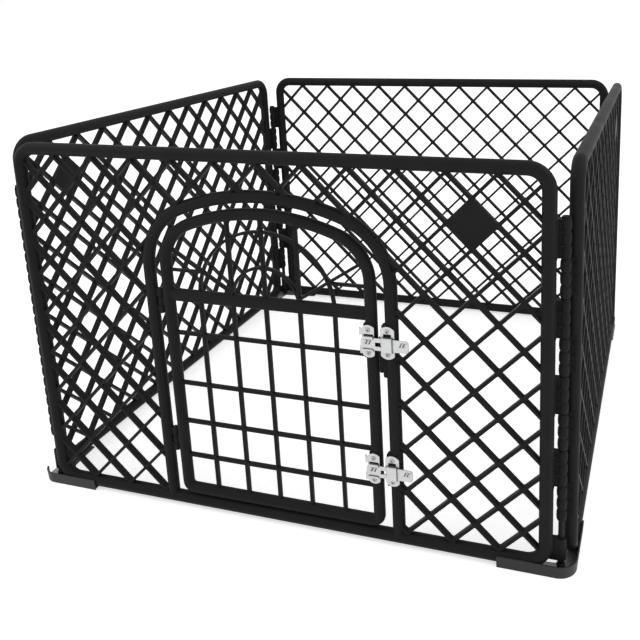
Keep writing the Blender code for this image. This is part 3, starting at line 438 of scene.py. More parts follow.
def close_rim(block):
    """Walls between the front and back edges that no second cell shares."""
    shape = bmesh.new()
    shape.from_mesh(block.data)
    bmesh.ops.remove_doubles(shape, verts=shape.verts, dist=RIM_WELD)
    middle = sum(vert.co.y for vert in shape.verts) / len(shape.verts)
    rim = [edge for edge in shape.edges
           if len(edge.link_faces) == 1 and edge.verts[0].co.y < middle]
    walls = bmesh.ops.extrude_edge_only(shape, edges=rim)
    moved = [part for part in walls["geom"] if isinstance(part, bmesh.types.BMVert)]
    bmesh.ops.translate(shape, verts=moved, vec=(0.0, LATTICE_DEPTH, 0.0))
    bmesh.ops.remove_doubles(shape, verts=shape.verts, dist=RIM_WELD)
    bmesh.ops.recalc_face_normals(shape, faces=shape.faces)
    shape.to_mesh(block.data)
    shape.free()


def prism(outline, low, high):
    """An outline of (x, z) points made solid between two depths."""
    count = len(outline)
    points = np.concatenate([np.insert(outline, 1, y, axis=1) for y in (low, high)])
    return points, (grid_faces(2, count, False)
                    + [list(range(count)), list(range(count, 2 * count))])


def cut(body, tool, operation):
    """Apply one exact Boolean to body and delete the tool."""
    change = body.modifiers.new("cut", "BOOLEAN")
    change.operation = operation
    change.solver = "EXACT"
    change.object = tool
    bpy.context.view_layer.update()
    graph = bpy.context.evaluated_depsgraph_get()
    mesh = bpy.data.meshes.new_from_object(body.evaluated_get(graph), depsgraph=graph)
    body.modifiers.clear()
    old = body.data
    body.data = mesh
    bpy.data.meshes.remove(old)
    bpy.data.objects.remove(tool, do_unlink=True)


def window_outline(doorway):
    """The tube's centre line, which for the front panel turns in along the jamb's."""
    steps = 4
    outline = rounded_rectangle(centre_width, centre_height, TUBE_CORNER, steps)
    if not doorway:
        return outline
    before_sill = 3 * (steps + 1)
    return np.concatenate((outline[:before_sill], doorway_line()[::-1], outline[before_sill:]))


def jamb_dimples():
    """Small blind recesses beside the jamb, where two ribs meet it."""
    half_width, half_height = (size / 2 for size in DIMPLE_SIZE)
    x = DOORWAY_HALF_WIDTH + JAMB_DIAMETER + DIMPLE_FROM_JAMB + half_width
    boxes = []
    for side in (-1, 1):
        for level in DIMPLE_LEVELS:
            outline = rounded_rectangle(half_width, half_height, DIMPLE_CORNER, 2)
            outline = outline + (side * x, 2 * half_pitch * level)
            boxes.append(prism(outline, -LATTICE_DEPTH, DIMPLE_DEPTH - LATTICE_DEPTH / 2))
    return boxes


def plain_block(plaque, doorway):
    """A panel's lattice in its own frame, trimmed to the tube's and jamb's middles."""
    block = piece("lattice", lattice_block(plaque), panel_plastic)
    close_rim(block)
    window = [prism(window_outline(doorway), -LATTICE_DEPTH, LATTICE_DEPTH)]
    cut(block, piece("window", window, panel_plastic), "INTERSECT")
    if doorway:
        cut(block, piece("dimples", jamb_dimples(), panel_plastic), "DIFFERENCE")
    return block


def as_shell(body):
    """A finished mesh's points and faces."""
    points = np.empty(len(body.data.vertices) * 3)
    body.data.vertices.foreach_get("co", points)
    faces = [list(face.vertices) for face in body.data.polygons]
    bpy.data.objects.remove(body, do_unlink=True)
    return points.reshape(-1, 3), faces


side_lattice = as_shell(plain_block(True, False))
lattices = {"front": as_shell(plain_block(True, True)), "right": side_lattice,
            "left": side_lattice, "back": as_shell(plain_block(False, False))}
for side, turn in PANELS.items():
    lattice = piece(side + "_lattice", [lattices[side]], panel_plastic, turn)
    dress(lattice, side, side + "_panel")


# Corner combs
# Each panel end carries groups of three bead-shaped knuckles. Neighbouring panels' groups take
# turns along the corner rod, as a piano hinge's do. A flat pad with a mould's dimple beside each
# knuckle joins them to the tube, and the web's outward face has a shallow pocket for each.
COMB_GROUPS = 8
COMB_PITCH = 0.0551
COMB_TOP = 0.221
COMB_CLEARANCE = 0.0008
COMB_CREASE = 40.0
KNUCKLES = 3
KNUCKLE_RADIUS = 0.0073
KNUCKLE_WAIST = 0.0054
ROD_BORE_RADIUS = 0.00465
KNUCKLE_STEPS = 9
KNUCKLE_SIDES = 28
PAD_FRONT, WEB_FRONT, WEB_BEHIND_PLATE, WEB_BACK = -0.0045, 0.0039, 0.0060, 0.0144
PAD_PROUD = 0.0006
WEB_INTO_TUBE = 0.004
WEB_SHORT_OF_AXIS = 0.0050
PLATE_BEYOND_AXIS = 0.0012
WEB_STEPS, WEB_LEVELS_EACH = 18, 20
WEB_FROM_GROUP_END = 0.0009
PAD_DIMPLE_FROM_MIDDLE = 0.0012
PAD_DIMPLE_RADIUS = 0.0025
PAD_DIMPLE_HOLLOW = 0.0035
POCKET_MARGIN = 0.0011
POCKET_SHARE = 0.80
POCKET_HOLLOW = 0.0015
LUG_BOTTOM, LUG_TOP = -0.2815, -0.2475
LUG_WEB_INTO_TUBE = 0.0095
LUG_EASE = 0.0005
COMBS = {"front": 0, "right": 1, "left": 1, "back": 0}


def turned(profile, centre, sides=24, axis="Z"):
    """A profile of (radius r, height h) points turned about an upright or inward axis: across it
    a point is centre + r (cos a, sin a), and along it h. A profile that starts on the axis ends
    there too, and any other one is a closed loop."""
    profile = np.asarray(profile, float)
    turn = np.arange(sides) * 2 * math.pi / sides
    first = centre[0] + profile[None, :, 0] * np.cos(turn)[:, None]
    second = centre[1] + profile[None, :, 0] * np.sin(turn)[:, None]
    along = np.broadcast_to(profile[:, 1], first.shape)
    order = (first, second, along) if axis == "Z" else (first, along, second)
    faces = grid_faces(sides, len(profile), True, profile[0, 0] > 0)
    return np.stack(order, axis=-1).reshape(-1, 3), faces


def stacked(outline, insets, levels):
    """A closed outline of (a, b) points repeated at each level, moved inward by that level's
    inset along its mitred normals, and capped at both ends: points (a, b, level)."""
    flat = outline[None] - np.asarray(insets)[:, None, None] * mitres(outline, True)[None]
    height = np.broadcast_to(np.asarray(levels)[:, None, None], (*flat.shape[:2], 1))
    points = np.concatenate((flat, height), axis=-1).reshape(-1, 3)
    count = len(outline)
    faces = grid_faces(len(levels), count, False)
    return points, faces + [list(range(count)), list(range(len(points) - count, len(points)))]


def along_knuckle(level, bottom, top):
    """Each level's place t on its own knuckle, from -1 at the knuckle's foot to 1 at its top."""
    share = (level - bottom) / (top - bottom) * KNUCKLES
    return 2 * (share - np.minimum(np.floor(share), KNUCKLES - 1)) - 1


def knuckle_group(side, bottom, top):
    """Three bead-shaped knuckles round the rod. Their radius is the waist plus the bulge times
    the square root of 1 - t^2, with t from along_knuckle."""
    level = np.linspace(bottom, top, KNUCKLES * (KNUCKLE_STEPS - 1) + 1)
    across = along_knuckle(level, bottom, top)
    radius = KNUCKLE_WAIST + (KNUCKLE_RADIUS - KNUCKLE_WAIST) * np.sqrt(1 - across ** 2)
    outer = np.stack((radius, level), axis=-1)
    profile = np.concatenate((outer, [(ROD_BORE_RADIUS, top), (ROD_BORE_RADIUS, bottom)]))
    return turned(profile, (side * hinge_reach, HINGE_INWARD), KNUCKLE_SIDES)


def comb_web(side, bottom, top):
    """The web between tube and knuckles, drawn up through the group: an end pad with a dimple
    beside each knuckle, and an outward plate with a shallow pocket for each. A dimple's depth is
    its hollow times sqrt((1 + cos(pi s)) / 2), with s the distance over the dimple's radius."""
    inner = PANEL_WIDTH / 2 - half_tube + WEB_INTO_TUBE
    pad = PANEL_WIDTH / 2 + PAD_PROUD
    outer = hinge_reach - WEB_SHORT_OF_AXIS
    plate_end = hinge_reach + PLATE_BEYOND_AXIS
    end_face = np.stack((np.full(WEB_STEPS, pad), np.linspace(PAD_FRONT, WEB_FRONT, WEB_STEPS)),
                        axis=-1)
    plate_face = np.stack((np.linspace(pad, plate_end, WEB_STEPS)[1:],
                           np.full(WEB_STEPS - 1, WEB_FRONT)), axis=-1)
    rest = [(plate_end, WEB_BEHIND_PLATE), (outer, WEB_BEHIND_PLATE), (outer, WEB_BACK),
            (inner, WEB_BACK), (inner, PAD_FRONT)]
    outline = np.concatenate((end_face, plate_face, rest))
    level = np.linspace(bottom + WEB_FROM_GROUP_END, top - WEB_FROM_GROUP_END,
                        KNUCKLES * WEB_LEVELS_EACH + 1)
    beside = along_knuckle(level, bottom, top)
    points, faces = stacked(outline, np.zeros(len(level)), level)
    grid = points.reshape(len(level), len(outline), 3)
    height = beside * (top - bottom) / KNUCKLES / 2
    away = np.hypot(grid[:, :WEB_STEPS, 1] - PAD_DIMPLE_FROM_MIDDLE, height[:, None])
    away = (away / PAD_DIMPLE_RADIUS).clip(0, 1)
    grid[:, :WEB_STEPS, 0] -= PAD_DIMPLE_HOLLOW * np.sqrt(0.5 + 0.5 * np.cos(np.pi * away))
    plate = slice(WEB_STEPS, 2 * WEB_STEPS - 1)
    within = ((grid[:, plate, 0] > pad + POCKET_MARGIN) & (np.abs(beside) < POCKET_SHARE)[:, None]
              & (grid[:, plate, 0] < plate_end - POCKET_MARGIN))
    grid[:, plate, 1] += POCKET_HOLLOW * within
    return grid.reshape(-1, 3) * (side, 1, 1), faces


def lug(side):
    """The plain lug round the rod beside a front or back panel's lower corner."""
    outer = hinge_reach - WEB_SHORT_OF_AXIS
    plate_end = hinge_reach + PLATE_BEYOND_AXIS
    inner = PANEL_WIDTH / 2 - half_tube - LUG_WEB_INTO_TUBE
    plan = np.array([(inner, WEB_FRONT), (plate_end, WEB_FRONT), (plate_end, WEB_BEHIND_PLATE),
                     (outer, WEB_BEHIND_PLATE), (outer, WEB_BACK), (inner, WEB_BACK)])
    points, faces = stacked(plan, (0.0, 0.0), (LUG_BOTTOM + LUG_EASE, LUG_TOP - LUG_EASE))
    rim = KNUCKLE_RADIUS - LUG_EASE
    barrel = [(ROD_BORE_RADIUS, LUG_BOTTOM), (rim, LUG_BOTTOM),
              (KNUCKLE_RADIUS, LUG_BOTTOM + LUG_EASE), (KNUCKLE_RADIUS, LUG_TOP - LUG_EASE),
              (rim, LUG_TOP), (ROD_BORE_RADIUS, LUG_TOP)]
    return [(points * (side, 1, 1), faces),
            turned(barrel, (side * hinge_reach, HINGE_INWARD), KNUCKLE_SIDES)]


for side, turn in PANELS.items():
    shells = [] if COMBS[side] else lug(-1) + lug(1)
    for group in range(COMBS[side], COMB_GROUPS, 2):
        top = COMB_TOP - group * COMB_PITCH - COMB_CLEARANCE / 2
        bottom = top - COMB_PITCH + COMB_CLEARANCE
        for end in (-1, 1):
            shells += [knuckle_group(end, bottom, top), comb_web(end, bottom, top)]
    comb = piece(side + "_combs", shells, panel_plastic, turn, crease=COMB_CREASE)
    dress(comb, side, side + "_panel")


# Doorway jamb
# A round tube edges the doorway and runs down into the sill. A thin flange on its outer side meets
# the ribs. On the latch side a short stepped stop fills part of the gap beside the closed door,
# and on the other side two pairs of knuckles carry the door's pins.
FLANGE_REACH = 0.0011
FLANGE_DEPTH, FLANGE_ROUNDING = 0.0050, 0.0004
STOP_BOTTOM, STOP_TOP = -0.028, 0.033
STOP_FRONT = -0.0025
STOP_THICKNESS = 0.0089
STOP_EDGE = 0.1743
STOP_STRIP_WIDTH = 0.0058
DOOR_HINGE_HEIGHTS = {"upper": 0.055, "lower": -0.180}
DOOR_HINGE_LENGTH = 0.040
DOOR_KNUCKLE_RADIUS = 0.0052
DOOR_KNUCKLE_GAP = 0.0003
DOOR_HINGE_X = -0.17875
DOOR_HINGE_WEB = 0.0064
DOOR_KNUCKLE_EASE, WEB_EASE, WEB_FROM_BORE = 0.0005, 0.0003, 0.0004
STOP_CORNER, STOP_EASE, STOP_STEP, STOP_OVERLAP = 0.0025, 0.0004, 0.007, 0.0005
PIN_BORE_RADIUS = 0.0026


def box_section(width, depth, rounding, steps=2):
    """A flat bar's cross section, rounded along its four edges."""
    return rounded_rectangle(width / 2, depth / 2, rounding, steps)


def slab(outline, insets, depths):
    """An outline of (x, z) points carried inward through a row of depths along y, moved in at
    each by its inset, and closed at both ends."""
    points, faces = stacked(outline, insets, depths)
    return points[:, [0, 2, 1]], faces


def door_knuckle(part, height, root):
    """One third of a door hinge, lower, middle or upper: a round knuckle bored for the pin, with
    slightly eased rims, and the web that joins it to the tube at root."""
    third = DOOR_HINGE_LENGTH / 3
    low = height - DOOR_HINGE_LENGTH / 2 + third * part + DOOR_KNUCKLE_GAP
    high = low + third - 2 * DOOR_KNUCKLE_GAP
    ease, radius = DOOR_KNUCKLE_EASE, DOOR_KNUCKLE_RADIUS
    profile = [(PIN_BORE_RADIUS, low), (radius - ease, low), (radius, low + ease),
               (radius, high - ease), (radius - ease, high), (PIN_BORE_RADIUS, high)]
    near = DOOR_HINGE_X + math.copysign(PIN_BORE_RADIUS + WEB_FROM_BORE, root - DOOR_HINGE_X)
    outline = np.array([(near, low + ease), (near, high - ease), (root, high - ease),
                        (root, low + ease)])
    half_web = DOOR_HINGE_WEB / 2
    web = slab(outline, (WEB_EASE, 0.0, 0.0, WEB_EASE),
               (-half_web, -half_web + WEB_EASE, half_web - WEB_EASE, half_web))
    return [turned(profile, (DOOR_HINGE_X, 0.0)), web]


def stop_block(left, right, bottom, front, back):
    """One strip of the door stop, its lower corners rounded."""
    low = bottom + STOP_CORNER
    outline = np.concatenate((arc((right - STOP_CORNER, low), STOP_CORNER, -90, 0, 4),
                              [(right, STOP_TOP), (left, STOP_TOP)],
                              arc((left + STOP_CORNER, low), STOP_CORNER, 180, 270, 4)))
    return slab(outline, (STOP_EASE, 0.0, 0.0, STOP_EASE),
                (front, front + STOP_EASE, back - STOP_EASE, back))


flange_width = FLANGE_REACH + half_jamb / 2
flange = box_section(flange_width, FLANGE_DEPTH, FLANGE_ROUNDING)
flange[:, 0] += half_jamb + FLANGE_REACH - flange_width / 2
jamb = piece("doorway_jamb", [swept(doorway_line(), round_section(half_jamb)),
                              swept(doorway_line(), flange)], panel_plastic, 0.0)
back_of_stop = STOP_FRONT + STOP_THICKNESS
stop = piece("door_stop", [
    stop_block(STOP_EDGE, STOP_EDGE + STOP_STRIP_WIDTH, STOP_BOTTOM + STOP_STEP, STOP_FRONT,
               back_of_stop - STOP_EASE),
    stop_block(STOP_EDGE + STOP_STRIP_WIDTH - STOP_OVERLAP, jamb_x, STOP_BOTTOM,
               STOP_FRONT + STOP_EASE, back_of_stop)], panel_plastic, 0.0)
shells = []
for height in DOOR_HINGE_HEIGHTS.values():
    shells += door_knuckle(0, height, -jamb_x) + door_knuckle(2, height, -jamb_x)
jamb_knuckles = piece("jamb_hinge_knuckles", shells, panel_plastic, 0.0)
for made in (jamb, stop, jamb_knuckles):
    dress(made, "front", "front_panel")


# Door
# The door is one moulding: a round tube frame with the doorway's arch, a stout middle rail, a
# square grid under it and a sunburst of two half rings, rays and uprights over it.
DOOR_TUBE_DIAMETER = 0.0180
DOOR_SIDE_GAP = 0.0115
DOOR_TOP_GAP = 0.0075
DOOR_SILL_GAP = 0.0016
DOOR_SHOULDER = 0.079
DOOR_LOWER_CORNER = 0.020
BAR_WIDTH, BAR_DEPTH, CROSS_BAR_DEPTH = 0.0052, 0.0080, 0.0077
BAR_ROUNDING = 0.0010
BAR_SPACING = 0.0545
CROSS_BARS = (0.005, -0.079, -0.145, -0.205)
RAIL_HEIGHT = 0.067
RAIL_WIDTH, RAIL_DEPTH, RAIL_ROUNDING = 0.0200, 0.0120, 0.0052
SUNBURST_WIDTH = 0.0042
RING_DEPTH, RAY_DEPTH, SIDE_BAR_DEPTH = 0.0077, 0.0074, 0.0070
RAY_START, RAY_END = (0.0545, 0.078), (0.158, 0.144)
SIDE_BAR_HEIGHT, SIDE_BAR_START = 0.107, 0.101
DOOR_COLOUR = (0.0160, 0.0160, 0.0163)

half_door_tube = DOOR_TUBE_DIAMETER / 2
door_half_width = DOORWAY_HALF_WIDTH - DOOR_SIDE_GAP
door_top = DOORWAY_TOP - DOOR_TOP_GAP
door_bottom = -PANEL_HEIGHT / 2 + 2 * half_tube + DOOR_SILL_GAP
door_reach = door_half_width - half_door_tube


def door_line():
    """The door tube's centre line: two lower corners, the uprights and the arch, closed."""
    radius = DOOR_LOWER_CORNER - half_door_tube
    corner = arc((door_reach - radius, door_bottom + half_door_tube + radius), radius, -90, 0, 6)
    over = arch(door_reach, door_top - half_door_tube, DOOR_SHOULDER - half_door_tube)
    return np.concatenate((corner, over, corner[::-1] * (-1, 1)))


def bar(start, end, width, depth):
    """A straight bar with rounded edges between two points."""
    return swept([start, end], box_section(width, depth, BAR_ROUNDING))


door_plastic = moulded_plastic("door_plastic", DOOR_COLOUR, gloss=0.50, shine=0.07,
                               grain=0.0004, relief=0.00002)
shell = swept(door_line(), round_section(half_door_tube), closed=True)
door_frame = piece("door_frame", [shell], door_plastic, 0.0)
rail = piece("door_middle_rail", [swept([(-door_reach, RAIL_HEIGHT), (door_reach, RAIL_HEIGHT)],
                                        box_section(RAIL_WIDTH, RAIL_DEPTH, RAIL_ROUNDING, 6))],
             door_plastic, 0.0)
grid_bottom = door_bottom + half_door_tube
shells = [bar((place * BAR_SPACING, grid_bottom), (place * BAR_SPACING, RAIL_HEIGHT), BAR_WIDTH,
              BAR_DEPTH) for place in range(-2, 3)]
shells += [bar((-door_reach, height), (door_reach, height), BAR_WIDTH, CROSS_BAR_DEPTH)
           for height in CROSS_BARS]
grid = piece("door_grid", shells, door_plastic, 0.0)
shells = []
for rings in (1, 2):
    ring = arc((0.0, RAIL_HEIGHT), rings * BAR_SPACING, 0.0, 180.0, 32)
    shells.append(swept(ring, box_section(SUNBURST_WIDTH, RING_DEPTH, BAR_ROUNDING)))
for place in (-1, 0, 1):
    x = place * BAR_SPACING
    top = ARCH_CENTRE + math.sqrt((door_top - half_door_tube - ARCH_CENTRE) ** 2 - x * x)
    shells.append(bar((x, RAIL_HEIGHT), (x, top), BAR_WIDTH, BAR_DEPTH))
for end in (-1, 1):
    shells.append(bar((end * RAY_START[0], RAY_START[1]), (end * RAY_END[0], RAY_END[1]),
                      SUNBURST_WIDTH, RAY_DEPTH))
    shells.append(bar((end * SIDE_BAR_START, SIDE_BAR_HEIGHT), (end * door_reach, SIDE_BAR_HEIGHT),
                      SUNBURST_WIDTH, SIDE_BAR_DEPTH))
sunburst = piece("door_sunburst", shells, door_plastic, 0.0)
shells = []
for height in DOOR_HINGE_HEIGHTS.values():
    shells += door_knuckle(1, height, -door_reach)
door_knuckles = piece("door_hinge_knuckles", shells, door_plastic, 0.0)
for made in (door_frame, rail, grid, sunburst, door_knuckles):
    dress(made, "door", "door")


# Hinge pins
# A blackened steel pin drops from above through each door hinge: the jamb's upper knuckle, then the
# door's, then the jamb's lower one. It hangs by its low domed head.
PIN_RADIUS = 0.0022
PIN_HEAD_RADIUS = 0.0037
PIN_HEAD_HEIGHT, PIN_HEAD_RIM = 0.0016, 0.0004
PIN_SEAT_GAP = 0.0003
PIN_COLOUR, PIN_METAL = (0.030, 0.030, 0.032), 0.8


def dome(radius, height, base, steps=6):
    """A quarter ellipse of (radius, height) points from (radius, base) to the axis, where it lies
    height above base, or below it if height is negative."""
    return arc((0.0, 0.0), 1.0, 0.0, 90.0, steps) * (radius, height) + (0.0, base)


pin_steel = moulded_plastic("pin_steel", PIN_COLOUR, gloss=0.34, shine=0.5, grain=0.0003,
                            relief=0.00001)
feed(pin_steel.node_tree.nodes["Principled BSDF"], {"Metallic": PIN_METAL})
for level, height in DOOR_HINGE_HEIGHTS.items():
    seat = height + DOOR_HINGE_LENGTH / 2 - DOOR_KNUCKLE_GAP + PIN_SEAT_GAP
    foot = height - DOOR_HINGE_LENGTH / 2
    head = dome(PIN_HEAD_RADIUS, PIN_HEAD_HEIGHT - PIN_HEAD_RIM, seat + PIN_HEAD_RIM)
    profile = np.concatenate(([(0.0, foot), (PIN_RADIUS, foot), (PIN_RADIUS, seat),
                               (PIN_HEAD_RADIUS, seat)], head))
    pin = piece("pin_" + level, [turned(profile, (DOOR_HINGE_X, 0.0))], pin_steel, 0.0)
    dress(pin, "front", "hinge_pin_" + level)


# Latches
# Each latch is three zinc-plated pressings: a guide plate on the door's stile, whose lips hold the
# strap and whose small tabs wrap round the stile, a keeper on the jamb with a raised bridge, and
# the sliding strap with a window and slanting thumb louvres near both ends.
LATCH_HEIGHTS = {"upper": 0.030, "lower": -0.171}
SHEET = 0.0014
PLATE_FACE = -0.0113
PLATE_BACK = PLATE_FACE + SHEET
EAR_HEIGHT = 0.049
PLATE_X, PLATE_WIDTH, PLATE_RADIUS = 0.1623, 0.0175, 0.0115
KEEPER_X, KEEPER_WIDTH, KEEPER_RADIUS = 0.1905, 0.0205, 0.0130
STRAP_BELOW = 0.0025
STRAP_BACK, STRAP_FACE = -0.0116, -0.0134
STRAP_START, STRAP_END = 0.1515, 0.2220
STRAP_WIDTH, STRAP_CORNER = 0.0185, 0.0051
LIP_FACE, BRIDGE_FACE = -0.0151, -0.0159
STRAP_CLEARANCE = 0.0004
LIP_REACH, LIP_EASE, LIP_SHORT_OF_SIDE = 0.0016, 0.0005, 0.0011
TAB_HEIGHT, TAB_REACH, TAB_SHEET = 0.0100, 0.0050, 0.0009
TAB_WRAP, TAB_BEND, TAB_SUNK = 0.0050, 0.0022, 0.0003
TAB_INTO_PLATE, TAB_FROM_SCREW = 0.0012, 0.0035
BRIDGE_WIDTH, BRIDGE_EASE, ROOF_EASE = 0.0150, 0.0009, 0.0004
KEEPER_LANCE, KEEPER_LANCE_CORNER = (0.0116, 0.0050), 0.0006
PLATE_LANCE, PLATE_LANCE_CORNER = (0.0150, 0.0024), 0.0004
LANCE_GAP = 0.0001
CREASE_LENGTH, CREASE_WIDTH, CREASE_DEPTH = 0.0120, 0.0004, 0.0004
CREASE_FROM_BRIDGE = 0.0012
WINDOW_START, WINDOW_END, WINDOW_WIDTH = 0.1730, 0.1897, 0.0062
LOUVRES = (0.1585, 0.1630, 0.2123, 0.2168)
LOUVRE_SLOTS = (0.1606, 0.1655, 0.2106, 0.2152)
LOUVRE_LENGTH, LOUVRE_LEAN, LOUVRE_RISE = 0.0066, 0.0030, 0.0027
LOUVRE_WIDTH, LOUVRE_PROUD = 0.0017, 0.00075
LOUVRE_TAPER, LOUVRE_ROOT = 0.00055, 0.0005
SLOT_WIDTH, SLOT_FLOOR = 0.0019, 0.0004
SCREW_FROM_END = 0.0070
SCREW_HEAD_RADIUS, SCREW_HEAD_HEIGHT = 0.0031, 0.0016
SCREW_SHANK_RADIUS, SCREW_TIP, SCREW_TIP_LENGTH = 0.0014, -0.0026, 0.0012
SCREW_SEAT_GAP = 0.0001
RECESS_REACH, RECESS_WIDTH, RECESS_DEPTH, RECESS_CORNER = 0.0020, 0.0010, 0.0011, 0.0002
EDGE_EASE = 0.0003
SEAT_FACE, SEAT_HEIGHT = -0.0096, 0.0515
DOOR_SEAT_WIDTH, JAMB_SEAT_WIDTH = 0.0145, 0.0175
SEAT_CORNER, SEAT_EASE = 0.0008, 0.0004
ZINC_METAL = 0.85
STREAK_SCALE, STREAK_DETAIL = (90.0, 260.0, 520.0), 5.0
STREAK_RANGE, STREAK_TINT = (0.3, 0.7), (0.88, 0.89, 0.90)
STREAK_GLOSS = (-0.06, 0.12)
DENT_STRENGTH, DENT_DEPTH = 0.25, 0.00004
# Painted shade: how far and how strongly ambient occlusion darkens the zinc's colour in crevices.
CREVICE_SHADE_REACH, CREVICE_SHADE_POWER = 0.0028, 1.6


def zinc(name, tone, gloss):
    """Zinc-plated steel: a pale metal with drawn-out, cloudy roughness and small dents. Its colour
    is darkened by painted shade in its crevices, where less of the sky above a point is open."""
    finish = bpy.data.materials.new(name)
    tree = own_tree(finish)
    place = new_node(tree, "ShaderNodeTexCoord", {}).outputs["Object"]
    stretch = new_node(tree, "ShaderNodeMapping", {"Vector": place, "Scale": STREAK_SCALE})
    streaks = new_node(tree, "ShaderNodeTexNoise", {
        "Vector": stretch.outputs["Vector"], "Scale": 1.0, "Detail": STREAK_DETAIL}).outputs["Fac"]
    tint = ramp(tree, streaks, (STREAK_RANGE[0], [share * tone for share in STREAK_TINT]),
                (STREAK_RANGE[1], [tone, tone, tone]))
    # Painted shade: ambient occlusion darkens the base colour in crevices and recesses, where shade
    # falls.
    sky = new_node(tree, "ShaderNodeAmbientOcclusion", {"Distance": CREVICE_SHADE_REACH})
    shade_share = new_node(tree, "ShaderNodeMath", {0: sky.outputs["AO"], 1: CREVICE_SHADE_POWER}, "POWER")
    crevice_shade = new_node(tree, "ShaderNodeVectorMath", {0: tint, "Scale": shade_share.outputs[0]}, "SCALE")
    rough = new_node(tree, "ShaderNodeMapRange", {
        "Value": streaks, "To Min": gloss + STREAK_GLOSS[0], "To Max": gloss + STREAK_GLOSS[1]})
    dents = new_node(tree, "ShaderNodeBump", {
        "Height": streaks, "Strength": DENT_STRENGTH, "Distance": DENT_DEPTH})
    feed(tree.nodes["Principled BSDF"], {
        "Base Color": crevice_shade.outputs["Vector"], "Metallic": ZINC_METAL,
        "Roughness": rough.outputs["Result"], "Normal": dents.outputs["Normal"]})
    return finish


def seat_pad(x, width, height):
    """The flat seat behind a plate, which its screws go into: a rounded rectangle that runs from
    the tube's middle to a little proud of it, its rim eased."""
    outline = rounded_rectangle(width / 2, SEAT_HEIGHT / 2, SEAT_CORNER, 2) + (x, height)
    return slab(outline, (SEAT_EASE, 0.0, 0.0), (SEAT_FACE, SEAT_FACE + SEAT_EASE, 0.0))


def pressed(outline, front, back):
    """A flat pressing from an outline of (x, z) points, its front and back edges eased."""
    return slab(outline, (EDGE_EASE, 0.0, 0.0, EDGE_EASE / 2),
                (front, front + EDGE_EASE, back - EDGE_EASE / 2, back))


def drawn(outline, start, end):
    """An outline of (y, z) points drawn along x from start to end."""
    points, faces = stacked(outline, (0.0, 0.0), (start, end))
    return points[:, [2, 0, 1]], faces


def eared(centre_x, height, width, radius):
    """A plate's outline, whose ends are arcs of a radius wider than half the plate."""
    spread = math.degrees(math.asin(width / 2 / radius))
    rise = EAR_HEIGHT / 2 - radius
    top = arc((centre_x, height + rise), radius, 90 - spread, 90 + spread, 12)
    low = arc((centre_x, height - rise), radius, 270 - spread, 270 + spread, 12)
    return np.concatenate((top, low))


def bent(line, thickness):
    """A bent strip's outline: a line of points and the same line offset by its thickness."""
    return np.concatenate((line, (line - thickness * mitres(line, False))[::-1]))


def cut_shells(shells, tools):
    """The shells with every tool's space cut out by exact Booleans, as one shell."""
    body = piece("body", shells[:1], latch_metal)
    for shell in shells[1:]:
        cut(body, piece("more", [shell], latch_metal), "UNION")
    for tool in tools:
        cut(body, piece("tool", [tool], latch_metal), "DIFFERENCE")
    return as_shell(body)


def oblong(left, right, bottom, top):
    """The four corners of an upright rectangle, counter-clockwise."""
    return np.array([(left, bottom), (right, bottom), (right, top), (left, top)])


def lance(x, bottom, size, corner, steps):
    """A tool for the hole that a pressing leaves in its plate: a rounded rectangle that starts just
    above bottom and runs right through the sheet."""
    outline = rounded_rectangle(size[0] / 2, size[1] / 2, corner, steps)
    outline = outline + (x, bottom + size[1] / 2 + LANCE_GAP)
    return prism(outline, PLATE_FACE - SHEET, PLATE_BACK + SHEET)


def slanted(x, middle, width):
    """The four corners of a slanting slot or louvre, leaning right as it rises."""
    foot = np.array((x - LOUVRE_LEAN / 2, middle - LOUVRE_LENGTH / 2))
    head = np.array((x + LOUVRE_LEAN / 2, middle + LOUVRE_LENGTH / 2))
    across = np.array((width / 2, 0.0))
    return np.array((foot - across, foot + across, head + across, head - across))


def guide_plate(height):
    """The plate on the stile: ears, a lip over each edge of the strap, the slot left by pressing
    the upper lip, and two wrapped tabs."""
    middle = height - STRAP_BELOW
    low, high = PLATE_X - PLATE_WIDTH / 2, PLATE_X + PLATE_WIDTH / 2
    shells = [pressed(eared(PLATE_X, height, PLATE_WIDTH, PLATE_RADIUS), PLATE_FACE, PLATE_BACK)]
    inner = STRAP_WIDTH / 2 + STRAP_CLEARANCE
    outer, edge = inner + SHEET, inner - STRAP_CLEARANCE - LIP_REACH
    root = PLATE_FACE + SHEET / 2
    lip = np.array([(root, outer), (LIP_FACE + LIP_EASE, outer), (LIP_FACE, outer - LIP_EASE),
                    (LIP_FACE, edge), (LIP_FACE + SHEET, edge), (LIP_FACE + SHEET, inner),
                    (root, inner)])
    sunk = PLATE_FACE + TAB_SUNK
    bend = arc((low - TAB_REACH + TAB_BEND, sunk + TAB_BEND), TAB_BEND, 270, 180, 5)
    line = np.concatenate(([(low + TAB_INTO_PLATE, sunk)], bend,
                           [(low - TAB_REACH, PLATE_FACE + TAB_WRAP)]))
    tab = bent(line[::-1], TAB_SHEET)
    for side in (-1, 1):
        shells.append(drawn(lip * (1, side) + (0, middle), low + LIP_SHORT_OF_SIDE,
                            high - LIP_SHORT_OF_SIDE))
        level = height + side * (EAR_HEIGHT / 2 - SCREW_FROM_END - TAB_FROM_SCREW)
        shells.append(stacked(tab, (0.0, 0.0), (level - TAB_HEIGHT / 2, level + TAB_HEIGHT / 2)))
    return cut_shells(shells, [lance(PLATE_X, middle + outer, PLATE_LANCE, PLATE_LANCE_CORNER, 2)])


